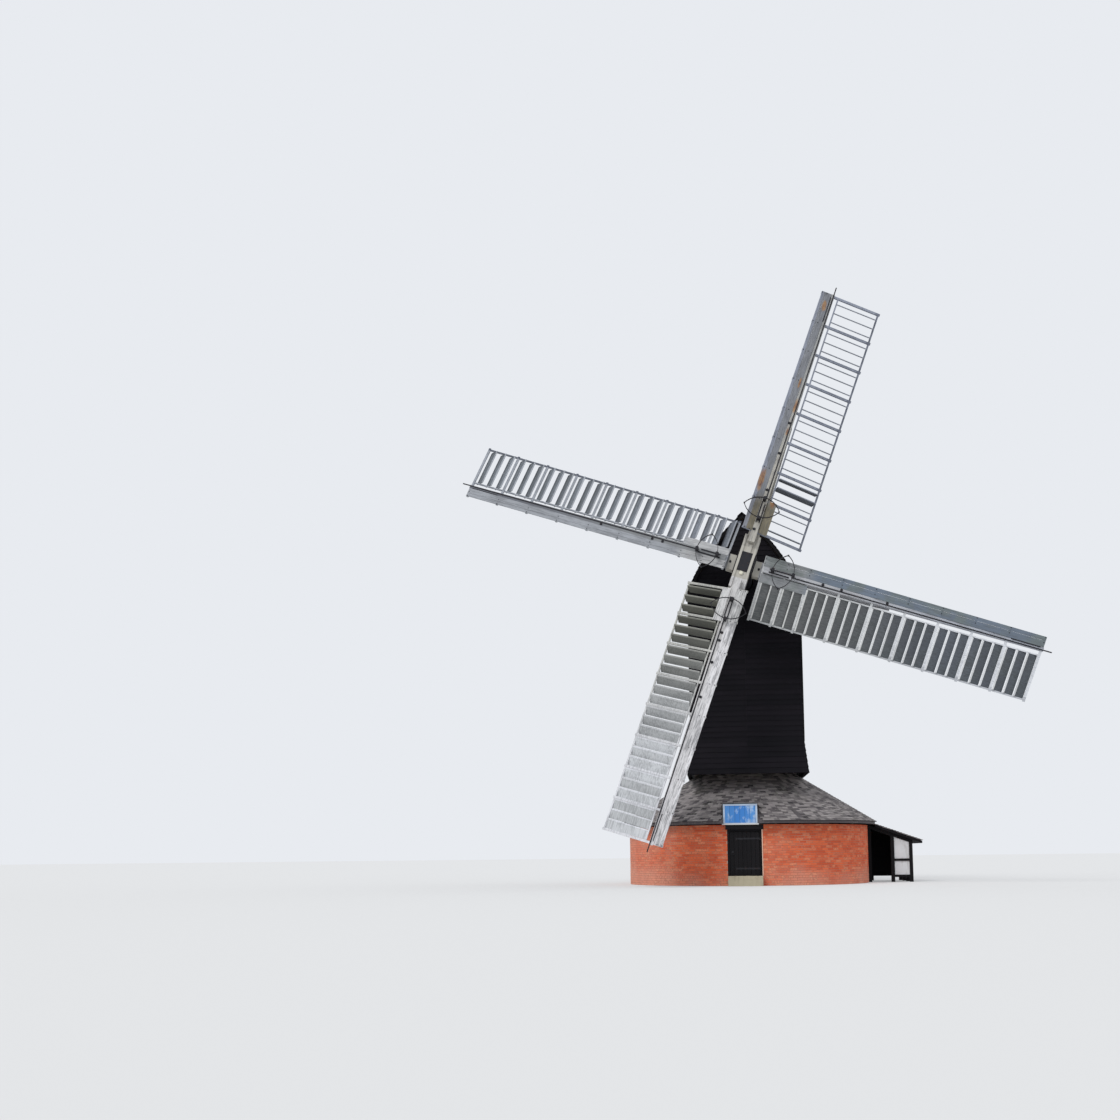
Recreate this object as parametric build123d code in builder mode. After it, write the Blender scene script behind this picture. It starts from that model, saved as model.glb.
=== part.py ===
"""A post mill: a tarred timber body that turns on a great post, four spring sails, and a brick roundhouse.

Millimetres. The origin lies on the post's axis at ground level, +Z is up, the front with the door and the
sails faces -Y, and +X is to the right of someone who stands in front.
"""

import os
from math import atan2, cos, hypot, radians, sin, sqrt, tan

from build123d import *

# Clearances
SEAT = 0.3  # between pieces that rest on each other along a curve or a slope
PIVOT_GAP = 0.5  # at each end of a shutter
DOOR_GAP = 8.0  # round the door leaf
SHAFT_GAP = 40.0  # round the windshaft where it passes the breast
POST_GAP = 60.0  # round the post where it passes the floor of the body

# Roundhouse
WALL_RADIUS = 3900.0
WALL_THICKNESS = 340.0
WALL_HEIGHT = 1850.0
FLOOR_THICKNESS = 280.0
EAVE_RADIUS = 4150.0
ROOF_SLOPE = 32.0
ROOF_LIFT = 266.0  # of the roof's face above the wall head, over the outside of the wall
ROOF_TOP_RADIUS = 1480.0
ROOF_COVER = 70.0  # boards and tiles
RAFTER_DEPTH = 130.0
RAFTER_WIDTH = 90.0
RAFTER_COUNT = 16
RAFTER_FOOT_INSET = 20.0  # of the rafters' feet from the outside of the wall
RAFTER_HEEL_REACH = 60.0  # of their heels past the inside of the wall
CURB_WIDTH = 150.0
CURB_DEPTH = 170.0

# Doorway, door and step
DOOR_CENTRE = -180.0
DOOR_OPENING_WIDTH = 1040.0
DOOR_OPENING_TOP = 1710.0
STEP_HEIGHT = 300.0
STEP_REACH = 280.0
STEP_ROUNDING = 18.0
FRAME_WIDTH = 65.0
FRAME_DEPTH = 120.0
FRAME_SETBACK = 70.0
LEAF_THICKNESS = 40.0
LEDGE_WIDTH = 130.0
LEDGE_THICKNESS = 32.0
LEDGE_SHARE = 0.16  # of the leaf's height, between a ledge and the nearer end of the leaf
STRAP_REACH = 720.0
STRAP_WIDTH = 50.0
STRAP_THICKNESS = 8.0
EYE_RADIUS = 15.0
PIN_RADIUS = 8.0
PIN_CLEARANCE = 0.3
PIN_GAP = 2.0  # between the eyes and the face of the frame
PIN_PROUD = 12.0
BRACKET_HEIGHT = 16.0

# Light over the door
LIGHT_CENTRE = -295.0
LIGHT_WIDTH = 1030.0
LIGHT_HEIGHT = 630.0
LIGHT_DEPTH = 60.0
LIGHT_FRAME = 55.0
LIGHT_BOARD_SETBACK = 18.0
HOOD_FALL = 60.0
HOOD_DEPTH = 1150.0

# Lean-to on the right
SHED_FRONT = -160.0
SHED_DEPTH = 2500.0
SHED_REACH = 5340.0
SHED_POST = 110.0
SHED_RAIL_DEPTH = 77.0
SHED_OVERHANG = 110.0  # of the roof past the frame, at the front and the back
SHED_WALL_GAP = 60.0  # between the round wall and the post at the back
SHED_DOOR_GAP = 12.0  # between the round wall and the post at the front
SHED_SIDE_BAYS = 3
SHED_BAY = 4700.0  # centre of the post between the open bay and the panels
SHED_EAVE = 5640.0
SHED_EAVE_HEIGHT = 1330.0
SHED_SLOPE = 20.0
SHED_COVER = 70.0
SHED_SILL = 250.0
SHED_RAIL = 720.0
PANEL_THICKNESS = 50.0

# Trestle and post
TRESTLE_TURN = 45.0
CROSSTREE_SIZE = 320.0
CROSSTREE_LENGTH = 6700.0
CROSSTREE_BOTTOM = 800.0
CROSSTREE_GAP = 12.0
PIER_WIDTH = 520.0
PIER_LENGTH = 620.0
PIER_RADIUS = 2900.0
QUARTER_BAR_SIZE = 270.0
QUARTER_BAR_FOOT = 2650.0
QUARTER_BAR_HEAD = 3050.0
POST_SQUARE = 640.0
POST_SQUARE_TOP = 3150.0
POST_CHAMFER = 77.0
POST_RADIUS = 300.0

# Body of the mill
BODY_HALF_WIDTH = 1745.0
BODY_FRONT = -2750.0
BODY_BACK = 2900.0
BREAST_DEPTH = 90.0  # how far the middle of the breast stands out
BODY_WALL = 120.0
BODY_BOTTOM = 3690.0
BODY_FLOOR = 100.0
BODY_EAVE = 9300.0
BODY_ROOF_RISE = 2430.0
ROOF_BULGE = 185.0
BODY_ROOF_THICKNESS = 90.0
ROOF_OVERHANG = 60.0
SKIRT_TOP = 4500.0
SKIRT_BOTTOM = 3480.0
SKIRT_FLARE = 120.0
SKIRT_EDGE = 60.0
SKIRT_HEAD = 2.0
CROWN_TREE_SIZE = 460.0
CROWN_TREE_BOTTOM = 6450.0
TAIL_DOOR_WIDTH = 760.0
TAIL_DOOR_HEIGHT = 1760.0
TAIL_DOOR_THICKNESS = 50.0

# Windshaft and the beams that carry it
SHAFT_TILT = 5.5
SHAFT_RADIUS = 270.0
SHAFT_TAIL = 2400.0  # how far behind the post its tail ends
HUB_FORWARD = 4500.0
HUB_RISE = 400.0  # of the hub above the eaves of the body
BEAM_DEPTH = 360.0
WEATHER_BEAM_Y = -2200.0
TAIL_BEAM_Y = 2100.0
BEARING_WIDTH = 760.0
BEARING_HEIGHT = 130.0

# Ladder and tail pole
LADDER_WIDTH = 900.0
LADDER_RUN = 3850.0
LADDER_STRING = 60.0
LADDER_STRING_DEPTH = 230.0
LADDER_FOOT = 40.0
TREAD_COUNT = 15
TREAD_DEPTH = 190.0
TREAD_THICKNESS = 40.0
POLE_START = 2350.0
POLE_END = 8300.0
POLE_SIZE = 200.0
POLE_END_SIZE = 140.0
POLE_SLOPE = 22.0
POLE_GAP = 12.0

# Sails: the first stands SAIL_TURN clockwise from upright, seen from the front
SAIL_TURN = 19.0
STOCK_CENTRE = 175.0  # of each stock, in front of the hub's centre and behind it
STOCK_WIDTH = 330.0
STOCK_DEPTH = 280.0
STOCK_END_WIDTH = 170.0
STOCK_END_DEPTH = 150.0
STOCK_REACH = 4500.0
CHEEK_THICKNESS = 75.0
FRONT_CHEEK_REACH = 850.0
REAR_CHEEK_REACH = 530.0
CHEEK_PROUD = 30.0
CANISTER_WALL = 40.0
CANISTER_SIZE = 600.0
CANISTER_LIP = 65.0
BACK_PLATE = 50.0
PLATE_THICKNESS = 28.0
WEDGE_WIDTH = 150.0
WEDGE_LENGTH = 240.0
WEDGE_THICKNESS = 60.0
WHIP_START = 600.0
WHIP_TIP = 9010.0
WHIP_WIDTH = 200.0
WHIP_DEPTH = 190.0
WHIP_TIP_WIDTH = 110.0
WHIP_TIP_DEPTH = 90.0
BAR_SEAT = 0.58  # where the bars pass through the whip, as a share of its depth
TIP_BAR = 8950.0
BAY = 998.0
SHORT_BAY = 690.0
HEEL_WEATHER = 22.0
TIP_WEATHER = 15.0
BAR_WIDTH = 70.0
BAR_DEPTH = 50.0
BAR_OVERHANG = 30.0
HEM_OFFSET = 1540.0
HEM_WIDTH = 50.0
HEM_DEPTH = 40.0
LATH_INSET = 190.0
LATH_WIDTH = 40.0
BOARD_WIDTH = 290.0
BOARD_THICKNESS = 22.0
BOARD_INSET = 30.0
BOARD_HEEL = 20.0
BOARD_TIP = 8990.0
HEEL_BOARD_INSET = 15.0
HEEL_BOARD_EDGE = 385.0
SHUTTER_THICKNESS = 20.0
SHUTTER_GAP = 12.0
MORTISE_GAP = 0.3
BOARD_SEAT = 0.7  # between the leading boards and the bars, which twist a little across their width
FRONT_SPRING_RADIUS = 1640.0
REAR_SPRING_RADIUS = 1190.0
SPRING_HALF_LENGTH = 550.0
SPRING_RISE = 325.0
SPRING_LEAF = 16.0
SPRING_WIDTH = 50.0
SPRING_EYE = 24.0
SPRING_STAND = 180.0
SPRING_PILLAR = 90.0
ROD_WIDTH = 34.0
ROD_THICKNESS = 14.0
ROD_OFFSET = 30.0
ROD_TIP = 9250.0

os.makedirs("parts", exist_ok=True)


def save(piece, name):
    """Labels a finished piece and writes it under its own name."""
    piece.label = name
    export_step(piece, f"parts/{name}.step")


# Heights that several pieces share
BODY_APEX = BODY_EAVE + BODY_ROOF_RISE
HUB_HEIGHT = BODY_EAVE + HUB_RISE


def roof_top_at(radius):
    """Height of the roundhouse roof's upper face at a distance from the post's axis."""
    return WALL_HEIGHT + ROOF_LIFT + (WALL_RADIUS - radius) * tan(radians(ROOF_SLOPE))


COVER_DROP = ROOF_COVER / cos(radians(ROOF_SLOPE))
RAFTER_DROP = RAFTER_DEPTH / cos(radians(ROOF_SLOPE))
WALL_INSIDE = WALL_RADIUS - WALL_THICKNESS

# Roundhouse floor
with BuildPart() as roundhouse_floor:
    with BuildSketch():
        Circle(WALL_INSIDE - SEAT)
    extrude(amount=FLOOR_THICKNESS)
save(roundhouse_floor.part, "roundhouse_floor")

# Round wall, in four quarters that leave the doorway open
WALL_QUARTERS = {
    "wall_front_left": (180, 270),
    "wall_front_right": (270, 360),
    "wall_back_right": (0, 90),
    "wall_back_left": (90, 180),
}


def wall_quarter(start, end, bottom, top):
    """One quarter of the round wall between two heights, as a closed ring sector."""
    with BuildPart() as quarter:
        with BuildSketch(Plane.XZ):
            with Locations(((WALL_RADIUS + WALL_INSIDE) / 2, (bottom + top) / 2)):
                Rectangle(WALL_THICKNESS, top - bottom)
        revolve(axis=Axis.Z, revolution_arc=end - start)
    return Rot(0, 0, start) * quarter.part


for wall_name, (wall_start, wall_end) in WALL_QUARTERS.items():
    with BuildPart() as wall:
        add(wall_quarter(wall_start, wall_end, 0, WALL_HEIGHT))
        with Locations((DOOR_CENTRE, -WALL_RADIUS, 0)):
            Box(
                DOOR_OPENING_WIDTH, 4 * WALL_THICKNESS, 3 * WALL_HEIGHT, mode=Mode.SUBTRACT
            )
    save(wall.part, wall_name)

# Brickwork over the doorway
with BuildPart() as wall_over_door:
    add(wall_quarter(225, 315, DOOR_OPENING_TOP, WALL_HEIGHT))
    with Locations((DOOR_CENTRE, -WALL_RADIUS, 0)):
        Box(
            DOOR_OPENING_WIDTH, 4 * WALL_THICKNESS, 3 * WALL_HEIGHT, mode=Mode.INTERSECT
        )
save(wall_over_door.part, "wall_over_door")

# Stone step, which is the sill of the doorway too
STEP_FRONT = -WALL_RADIUS - STEP_REACH
with BuildPart() as door_step:
    with BuildSketch():
        with Locations((DOOR_CENTRE, STEP_FRONT)):
            Rectangle(DOOR_OPENING_WIDTH, 3 * WALL_THICKNESS, align=(Align.CENTER, Align.MIN))
        Circle(WALL_INSIDE, mode=Mode.SUBTRACT)
    extrude(amount=STEP_HEIGHT)
    fillet(door_step.edges().filter_by(Axis.X).group_by(Axis.Y)[0].sort_by(Axis.Z)[-1], STEP_ROUNDING)
save(door_step.part, "door_step")

# Door frame: two posts and a head
FRAME_FRONT = -WALL_RADIUS + FRAME_SETBACK
with BuildPart() as door_frame:
    with BuildSketch(Plane.XZ.offset(-FRAME_FRONT - FRAME_DEPTH)):
        with Locations((DOOR_CENTRE, STEP_HEIGHT)):
            Rectangle(
                DOOR_OPENING_WIDTH,
                DOOR_OPENING_TOP - STEP_HEIGHT,
                align=(Align.CENTER, Align.MIN),
            )
            Rectangle(
                DOOR_OPENING_WIDTH - 2 * FRAME_WIDTH,
                DOOR_OPENING_TOP - STEP_HEIGHT - FRAME_WIDTH,
                align=(Align.CENTER, Align.MIN),
                mode=Mode.SUBTRACT,
            )
    extrude(amount=FRAME_DEPTH)
save(door_frame.part, "door_frame")

# Door leaf of upright boards on two ledges
LEAF_WIDTH = DOOR_OPENING_WIDTH - 2 * FRAME_WIDTH - 2 * DOOR_GAP
LEAF_HEIGHT = DOOR_OPENING_TOP - STEP_HEIGHT - FRAME_WIDTH - 2 * DOOR_GAP
LEAF_BOTTOM = STEP_HEIGHT + DOOR_GAP
LEAF_FRONT = FRAME_FRONT
HINGE_X = DOOR_CENTRE + LEAF_WIDTH / 2
LEDGE_HEIGHTS = (
    LEAF_BOTTOM + LEDGE_SHARE * LEAF_HEIGHT,
    LEAF_BOTTOM + (1 - LEDGE_SHARE) * LEAF_HEIGHT,
)
with BuildPart() as door_leaf:
    with BuildSketch(Plane.XZ.offset(-LEAF_FRONT - LEAF_THICKNESS)):
        with Locations((DOOR_CENTRE, LEAF_BOTTOM)):
            Rectangle(LEAF_WIDTH, LEAF_HEIGHT, align=(Align.CENTER, Align.MIN))
    extrude(amount=LEAF_THICKNESS)
    with BuildSketch(Plane.XZ.offset(-LEAF_FRONT - LEAF_THICKNESS)):
        for ledge_height in LEDGE_HEIGHTS:
            with Locations((DOOR_CENTRE, ledge_height)):
                Rectangle(LEAF_WIDTH - 2 * FRAME_WIDTH, LEDGE_WIDTH)
    extrude(amount=-LEDGE_THICKNESS)
save(door_leaf.part, "door_leaf")

# Strap hinges on the outer face of the leaf, each with an eye on a pin that the frame carries
PIN_X = HINGE_X + DOOR_GAP / 2
PIN_Y = LEAF_FRONT - EYE_RADIUS - PIN_GAP
with BuildPart() as door_straps:
    for ledge_height in LEDGE_HEIGHTS:
        with BuildSketch(Plane.XZ.offset(-LEAF_FRONT + SEAT)):
            with Locations((PIN_X, ledge_height)):
                Rectangle(STRAP_REACH, STRAP_WIDTH, align=(Align.MAX, Align.CENTER))
        extrude(amount=STRAP_THICKNESS)
        with BuildSketch(Plane.XY.offset(ledge_height - STRAP_WIDTH / 2)):
            with Locations((PIN_X, PIN_Y)):
                Circle(EYE_RADIUS)
        extrude(amount=STRAP_WIDTH)
        with BuildSketch(Plane.XY.offset(ledge_height - STRAP_WIDTH / 2)):
            with Locations((PIN_X, PIN_Y)):
                Circle(PIN_RADIUS + PIN_CLEARANCE)
        extrude(amount=STRAP_WIDTH, mode=Mode.SUBTRACT)
save(door_straps.part, "door_straps")

# Pins on brackets under the eyes, fixed to the front of the frame
with BuildPart() as door_pins:
    for ledge_height in LEDGE_HEIGHTS:
        bracket_top = ledge_height - STRAP_WIDTH / 2 - PIN_CLEARANCE
        with BuildSketch(Plane.XY.offset(bracket_top - BRACKET_HEIGHT)):
            with Locations((PIN_X, PIN_Y)):
                Circle(EYE_RADIUS)
            with Locations((PIN_X, FRAME_FRONT)):
                Rectangle(
                    FRAME_WIDTH, EYE_RADIUS * 2 + PIN_GAP, align=(Align.MIN, Align.MAX)
                )
        extrude(amount=BRACKET_HEIGHT)
        with BuildSketch(Plane.XY.offset(bracket_top)):
            with Locations((PIN_X, PIN_Y)):
                Circle(PIN_RADIUS)
        extrude(amount=STRAP_WIDTH + PIN_PROUD)
save(door_pins.part, "door_pins")


# Roundhouse roof: the cover in two halves, rafters and a curb under its top
def cone_band(outer, inner, top_drop, bottom_drop, arc):
    """A band of the cone between two radii, from one depth below its face to another."""
    with BuildPart() as band:
        with BuildSketch(Plane.XZ):
            with BuildLine():
                Polyline(
                    (outer, roof_top_at(outer) - top_drop),
                    (inner, roof_top_at(inner) - top_drop),
                    (inner, roof_top_at(inner) - bottom_drop),
                    (outer, roof_top_at(outer) - bottom_drop),
                    close=True,
                )
            make_face()
        revolve(axis=Axis.Z, revolution_arc=arc)
    return band.part


LIGHT_BACK = -WALL_RADIUS + LIGHT_DEPTH
for roof_name, roof_turn in {"roof_left": 90, "roof_right": 270}.items():
    with BuildPart() as roof_half:
        add(Rot(0, 0, roof_turn) * cone_band(EAVE_RADIUS, ROOF_TOP_RADIUS, 0, COVER_DROP, 180))
        with Locations((LIGHT_CENTRE, LIGHT_BACK + SEAT, WALL_HEIGHT)):
            Box(
                LIGHT_WIDTH + 2 * SEAT,
                2 * EAVE_RADIUS,
                2 * LIGHT_HEIGHT,
                align=(Align.CENTER, Align.MAX, Align.CENTER),
                mode=Mode.SUBTRACT,
            )
    save(roof_half.part, roof_name)

RAFTER_TOP_DROP = COVER_DROP + SEAT
with BuildPart() as roof_rafters:
    for rafter_index in range(RAFTER_COUNT):
        rafter_plane = Plane(
            origin=(0, 0, 0),
            x_dir=Vector(1, 0, 0).rotate(Axis.Z, 360 / RAFTER_COUNT * (rafter_index + 0.5)),
            z_dir=Vector(0, -1, 0).rotate(Axis.Z, 360 / RAFTER_COUNT * (rafter_index + 0.5)),
        )
        foot = WALL_RADIUS - RAFTER_FOOT_INSET
        heel = WALL_INSIDE - RAFTER_HEEL_REACH
        head = ROOF_TOP_RADIUS + CURB_WIDTH
        with BuildSketch(rafter_plane.offset(-RAFTER_WIDTH / 2)):
            with BuildLine():
                Polyline(
                    (foot, roof_top_at(foot) - RAFTER_TOP_DROP - SEAT),
                    (head + SEAT, roof_top_at(head) - RAFTER_TOP_DROP - SEAT),
                    (head + SEAT, roof_top_at(head) - RAFTER_TOP_DROP - RAFTER_DROP),
                    (heel, roof_top_at(heel) - RAFTER_TOP_DROP - RAFTER_DROP),
                    (heel, WALL_HEIGHT + SEAT),
                    (foot, WALL_HEIGHT + SEAT),
                    close=True,
                )
            make_face()
        extrude(amount=RAFTER_WIDTH)
save(roof_rafters.part, "roof_rafters")

with BuildPart() as roof_curb:
    add(
        cone_band(
            ROOF_TOP_RADIUS + CURB_WIDTH,
            ROOF_TOP_RADIUS,
            RAFTER_TOP_DROP,
            RAFTER_TOP_DROP + CURB_DEPTH,
            360,
        )
    )
save(roof_curb.part, "roof_curb")

# Light over the door: a frame that stands on the wall head, with its board set back in it
with BuildPart() as light_frame:
    with BuildSketch(Plane.XZ.offset(-LIGHT_BACK)):
        with Locations((LIGHT_CENTRE, WALL_HEIGHT)):
            Rectangle(LIGHT_WIDTH, LIGHT_HEIGHT, align=(Align.CENTER, Align.MIN))
        with Locations((LIGHT_CENTRE, WALL_HEIGHT + LIGHT_FRAME)):
            Rectangle(
                LIGHT_WIDTH - 2 * LIGHT_FRAME,
                LIGHT_HEIGHT - 2 * LIGHT_FRAME,
                align=(Align.CENTER, Align.MIN),
                mode=Mode.SUBTRACT,
            )
    extrude(amount=LIGHT_DEPTH)
save(light_frame.part, "light_frame")

with BuildPart() as light_board:
    with BuildSketch(Plane.XZ.offset(-LIGHT_BACK)):
        with Locations((LIGHT_CENTRE, WALL_HEIGHT + LIGHT_FRAME)):
            Rectangle(
                LIGHT_WIDTH - 2 * LIGHT_FRAME,
                LIGHT_HEIGHT - 2 * LIGHT_FRAME,
                align=(Align.CENTER, Align.MIN),
            )
    extrude(amount=LIGHT_DEPTH - LIGHT_BOARD_SETBACK)
save(light_board.part, "light_board")

# Hood behind the light, scribed to the slope of the cone
with BuildPart() as light_hood:
    with BuildSketch(Plane.YZ.offset(LIGHT_CENTRE - LIGHT_WIDTH / 2)):
        with BuildLine():
            Polyline(
                (LIGHT_BACK, WALL_HEIGHT),
                (LIGHT_BACK, WALL_HEIGHT + LIGHT_HEIGHT),
                (LIGHT_BACK + HOOD_DEPTH, WALL_HEIGHT + LIGHT_HEIGHT + HOOD_FALL),
                (LIGHT_BACK + HOOD_DEPTH, WALL_HEIGHT),
                close=True,
            )
        make_face()
    extrude(amount=LIGHT_WIDTH)
    with BuildSketch(Plane.XZ):
        with BuildLine():
            Polyline(
                (0, 0),
                (EAVE_RADIUS, 0),
                (EAVE_RADIUS, roof_top_at(EAVE_RADIUS) + SEAT),
                (0, roof_top_at(0) + SEAT),
                close=True,
            )
        make_face()
    revolve(axis=Axis.Z, mode=Mode.SUBTRACT)
save(light_hood.part, "light_hood")


# Lean-to: a timber frame on the right, open in its first bay
def shed_roof_at(x):
    """Height of the lean-to roof's upper face."""
    return SHED_EAVE_HEIGHT + (SHED_EAVE - x) * tan(radians(SHED_SLOPE))


SHED_COVER_DROP = SHED_COVER / cos(radians(SHED_SLOPE))
SHED_BACK = SHED_FRONT + SHED_DEPTH
SHED_INNER_FRONT = sqrt(WALL_RADIUS**2 - SHED_FRONT**2)
SHED_INNER_BACK = sqrt(WALL_RADIUS**2 - SHED_BACK**2)
SHED_OUTER_TOP = shed_roof_at(SHED_REACH) - SHED_COVER_DROP


def shed_post(x, y):
    """A post up to the underside of the lean-to roof, its top cut to the slope."""
    with BuildPart() as post:
        with BuildSketch(Plane.XZ.offset(-y - SHED_POST / 2)):
            with BuildLine():
                Polyline(
                    (x - SHED_POST / 2, 0),
                    (x + SHED_POST / 2, 0),
                    (x + SHED_POST / 2, shed_roof_at(x + SHED_POST / 2) - SHED_COVER_DROP - SEAT),
                    (x - SHED_POST / 2, shed_roof_at(x - SHED_POST / 2) - SHED_COVER_DROP - SEAT),
                    close=True,
                )
            make_face()
        extrude(amount=SHED_POST)
    return post.part


def roundhouse_envelope():
    """The round wall and what lies above the underside of its eaves, which the lean-to is scribed to."""
    side = WALL_RADIUS + SEAT
    eave = EAVE_RADIUS + SEAT
    with BuildPart() as envelope:
        with BuildSketch(Plane.XZ):
            with BuildLine():
                Polyline(
                    (0, 0),
                    (side, 0),
                    (side, roof_top_at(side) - COVER_DROP - SEAT),
                    (eave, roof_top_at(eave) - COVER_DROP - SEAT),
                    (eave, roof_top_at(0)),
                    (0, roof_top_at(0)),
                    close=True,
                )
            make_face()
        revolve(axis=Axis.Z)
    return envelope.part


SHED_FRONT_Y = SHED_FRONT + SHED_POST / 2
SHED_BACK_Y = SHED_BACK - SHED_POST / 2
SHED_OUTER_X = SHED_REACH - SHED_POST / 2
SHED_SIDE_PITCH = (SHED_BACK_Y - SHED_FRONT_Y) / SHED_SIDE_BAYS
SHED_BACK_POST = (SHED_INNER_BACK + SHED_OUTER_X) / 2 + SHED_POST
SHED_WALL_POST = SHED_INNER_BACK + SHED_POST / 2 + SEAT + SHED_WALL_GAP
SHED_FRONT_POST = SHED_INNER_FRONT + SHED_POST / 2 + SEAT + SHED_DOOR_GAP
with BuildPart() as lean_to_frame:
    add(shed_post(SHED_FRONT_POST, SHED_FRONT_Y))
    add(shed_post(SHED_BAY, SHED_FRONT_Y))
    for side_index in range(SHED_SIDE_BAYS + 1):
        add(shed_post(SHED_OUTER_X, SHED_FRONT_Y + side_index * SHED_SIDE_PITCH))
    add(shed_post(SHED_BACK_POST, SHED_BACK_Y))
    add(shed_post(SHED_WALL_POST, SHED_BACK_Y))
    for rail_height in (SHED_SILL - SHED_POST / 2, SHED_RAIL):
        with Locations((SHED_BAY, SHED_FRONT_Y, rail_height)):
            Box(
                SHED_OUTER_X - SHED_BAY,
                SHED_POST,
                SHED_RAIL_DEPTH,
                align=(Align.MIN, Align.CENTER, Align.CENTER),
            )
        with Locations((SHED_OUTER_X, SHED_FRONT_Y, rail_height)):
            Box(
                SHED_POST,
                SHED_BACK_Y - SHED_FRONT_Y,
                SHED_RAIL_DEPTH,
                align=(Align.CENTER, Align.MIN, Align.CENTER),
            )
        with Locations((SHED_WALL_POST, SHED_BACK_Y, rail_height)):
            Box(
                SHED_OUTER_X - SHED_WALL_POST,
                SHED_POST,
                SHED_RAIL_DEPTH,
                align=(Align.MIN, Align.CENTER, Align.CENTER),
            )
    for plate_y, plate_start in ((SHED_FRONT_Y, SHED_FRONT_POST), (SHED_BACK_Y, SHED_WALL_POST)):
        with BuildSketch(Plane.XZ.offset(-plate_y - SHED_POST / 2)):
            with BuildLine():
                Polyline(
                    (plate_start, shed_roof_at(plate_start) - SHED_COVER_DROP - SEAT),
                    (SHED_OUTER_X, shed_roof_at(SHED_OUTER_X) - SHED_COVER_DROP - SEAT),
                    (SHED_OUTER_X, shed_roof_at(SHED_OUTER_X) - SHED_COVER_DROP - SHED_POST),
                    (plate_start, shed_roof_at(plate_start) - SHED_COVER_DROP - SHED_POST),
                    close=True,
                )
            make_face()
        extrude(amount=SHED_POST)
    with BuildSketch(Plane.XZ.offset(-SHED_BACK_Y)):
        with BuildLine():
            Polyline(
                (
                    SHED_OUTER_X - SHED_POST / 2,
                    shed_roof_at(SHED_OUTER_X - SHED_POST / 2) - SHED_COVER_DROP - SEAT,
                ),
                (
                    SHED_OUTER_X + SHED_POST / 2,
                    shed_roof_at(SHED_OUTER_X + SHED_POST / 2) - SHED_COVER_DROP - SEAT,
                ),
                (SHED_OUTER_X + SHED_POST / 2, SHED_OUTER_TOP - SHED_POST),
                (SHED_OUTER_X - SHED_POST / 2, SHED_OUTER_TOP - SHED_POST),
                close=True,
            )
        make_face()
    extrude(amount=SHED_BACK_Y - SHED_FRONT_Y)
    add(roundhouse_envelope(), mode=Mode.SUBTRACT)
save(lean_to_frame.part, "lean_to_frame")

with BuildPart() as lean_to_roof:
    with BuildSketch(Plane.XZ.offset(-SHED_BACK - SHED_OVERHANG)):
        with BuildLine():
            Polyline(
                (WALL_INSIDE / 2, shed_roof_at(WALL_INSIDE / 2)),
                (SHED_EAVE, SHED_EAVE_HEIGHT),
                (SHED_EAVE, SHED_EAVE_HEIGHT - SHED_COVER_DROP),
                (WALL_INSIDE / 2, shed_roof_at(WALL_INSIDE / 2) - SHED_COVER_DROP),
                close=True,
            )
        make_face()
    extrude(amount=SHED_DEPTH + 2 * SHED_OVERHANG)
    with BuildSketch():
        Circle(EAVE_RADIUS + SEAT)
    extrude(amount=roof_top_at(0), mode=Mode.SUBTRACT)
save(lean_to_roof.part, "lean_to_roof")

# White panels between the posts and rails of the lean-to
with BuildPart() as lean_to_panels:
    panel_rows = (
        (SHED_SILL - SHED_POST / 2 + SHED_RAIL_DEPTH / 2, SHED_RAIL - SHED_RAIL_DEPTH / 2),
        (SHED_RAIL + SHED_RAIL_DEPTH / 2, None),
    )
    front_start = SHED_BAY + SHED_POST / 2
    front_end = SHED_OUTER_X - SHED_POST / 2
    for panel_bottom, panel_top in panel_rows:
        left_top = panel_top or shed_roof_at(front_start) - SHED_COVER_DROP - SHED_POST
        right_top = panel_top or shed_roof_at(front_end) - SHED_COVER_DROP - SHED_POST
        with BuildSketch(Plane.XZ.offset(-SHED_FRONT_Y - PANEL_THICKNESS / 2)):
            with BuildLine():
                Polyline(
                    (front_start, panel_bottom),
                    (front_end, panel_bottom),
                    (front_end, right_top),
                    (front_start, left_top),
                    close=True,
                )
            make_face()
        extrude(amount=PANEL_THICKNESS)
        for back_start, back_end in (
            (SHED_WALL_POST + SHED_POST / 2, SHED_BACK_POST - SHED_POST / 2),
            (SHED_BACK_POST + SHED_POST / 2, front_end),
        ):
            left_top = panel_top or shed_roof_at(back_start) - SHED_COVER_DROP - SHED_POST
            right_top = panel_top or shed_roof_at(back_end) - SHED_COVER_DROP - SHED_POST
            with BuildSketch(Plane.XZ.offset(-SHED_BACK_Y - PANEL_THICKNESS / 2)):
                with BuildLine():
                    Polyline(
                        (back_start, panel_bottom),
                        (back_end, panel_bottom),
                        (back_end, right_top),
                        (back_start, left_top),
                        close=True,
                    )
                make_face()
            extrude(amount=PANEL_THICKNESS)
        side_top = panel_top or SHED_OUTER_TOP - SHED_POST
        for side_index in range(SHED_SIDE_BAYS):
            side_start = SHED_FRONT_Y + side_index * SHED_SIDE_PITCH + SHED_POST / 2
            with Locations((SHED_OUTER_X, side_start, panel_bottom)):
                Box(
                    PANEL_THICKNESS,
                    SHED_SIDE_PITCH - SHED_POST,
                    side_top - panel_bottom,
                    align=(Align.CENTER, Align.MIN, Align.MIN),
                )
    add(roundhouse_envelope(), mode=Mode.SUBTRACT)
save(lean_to_panels.part, "lean_to_panels")

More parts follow.
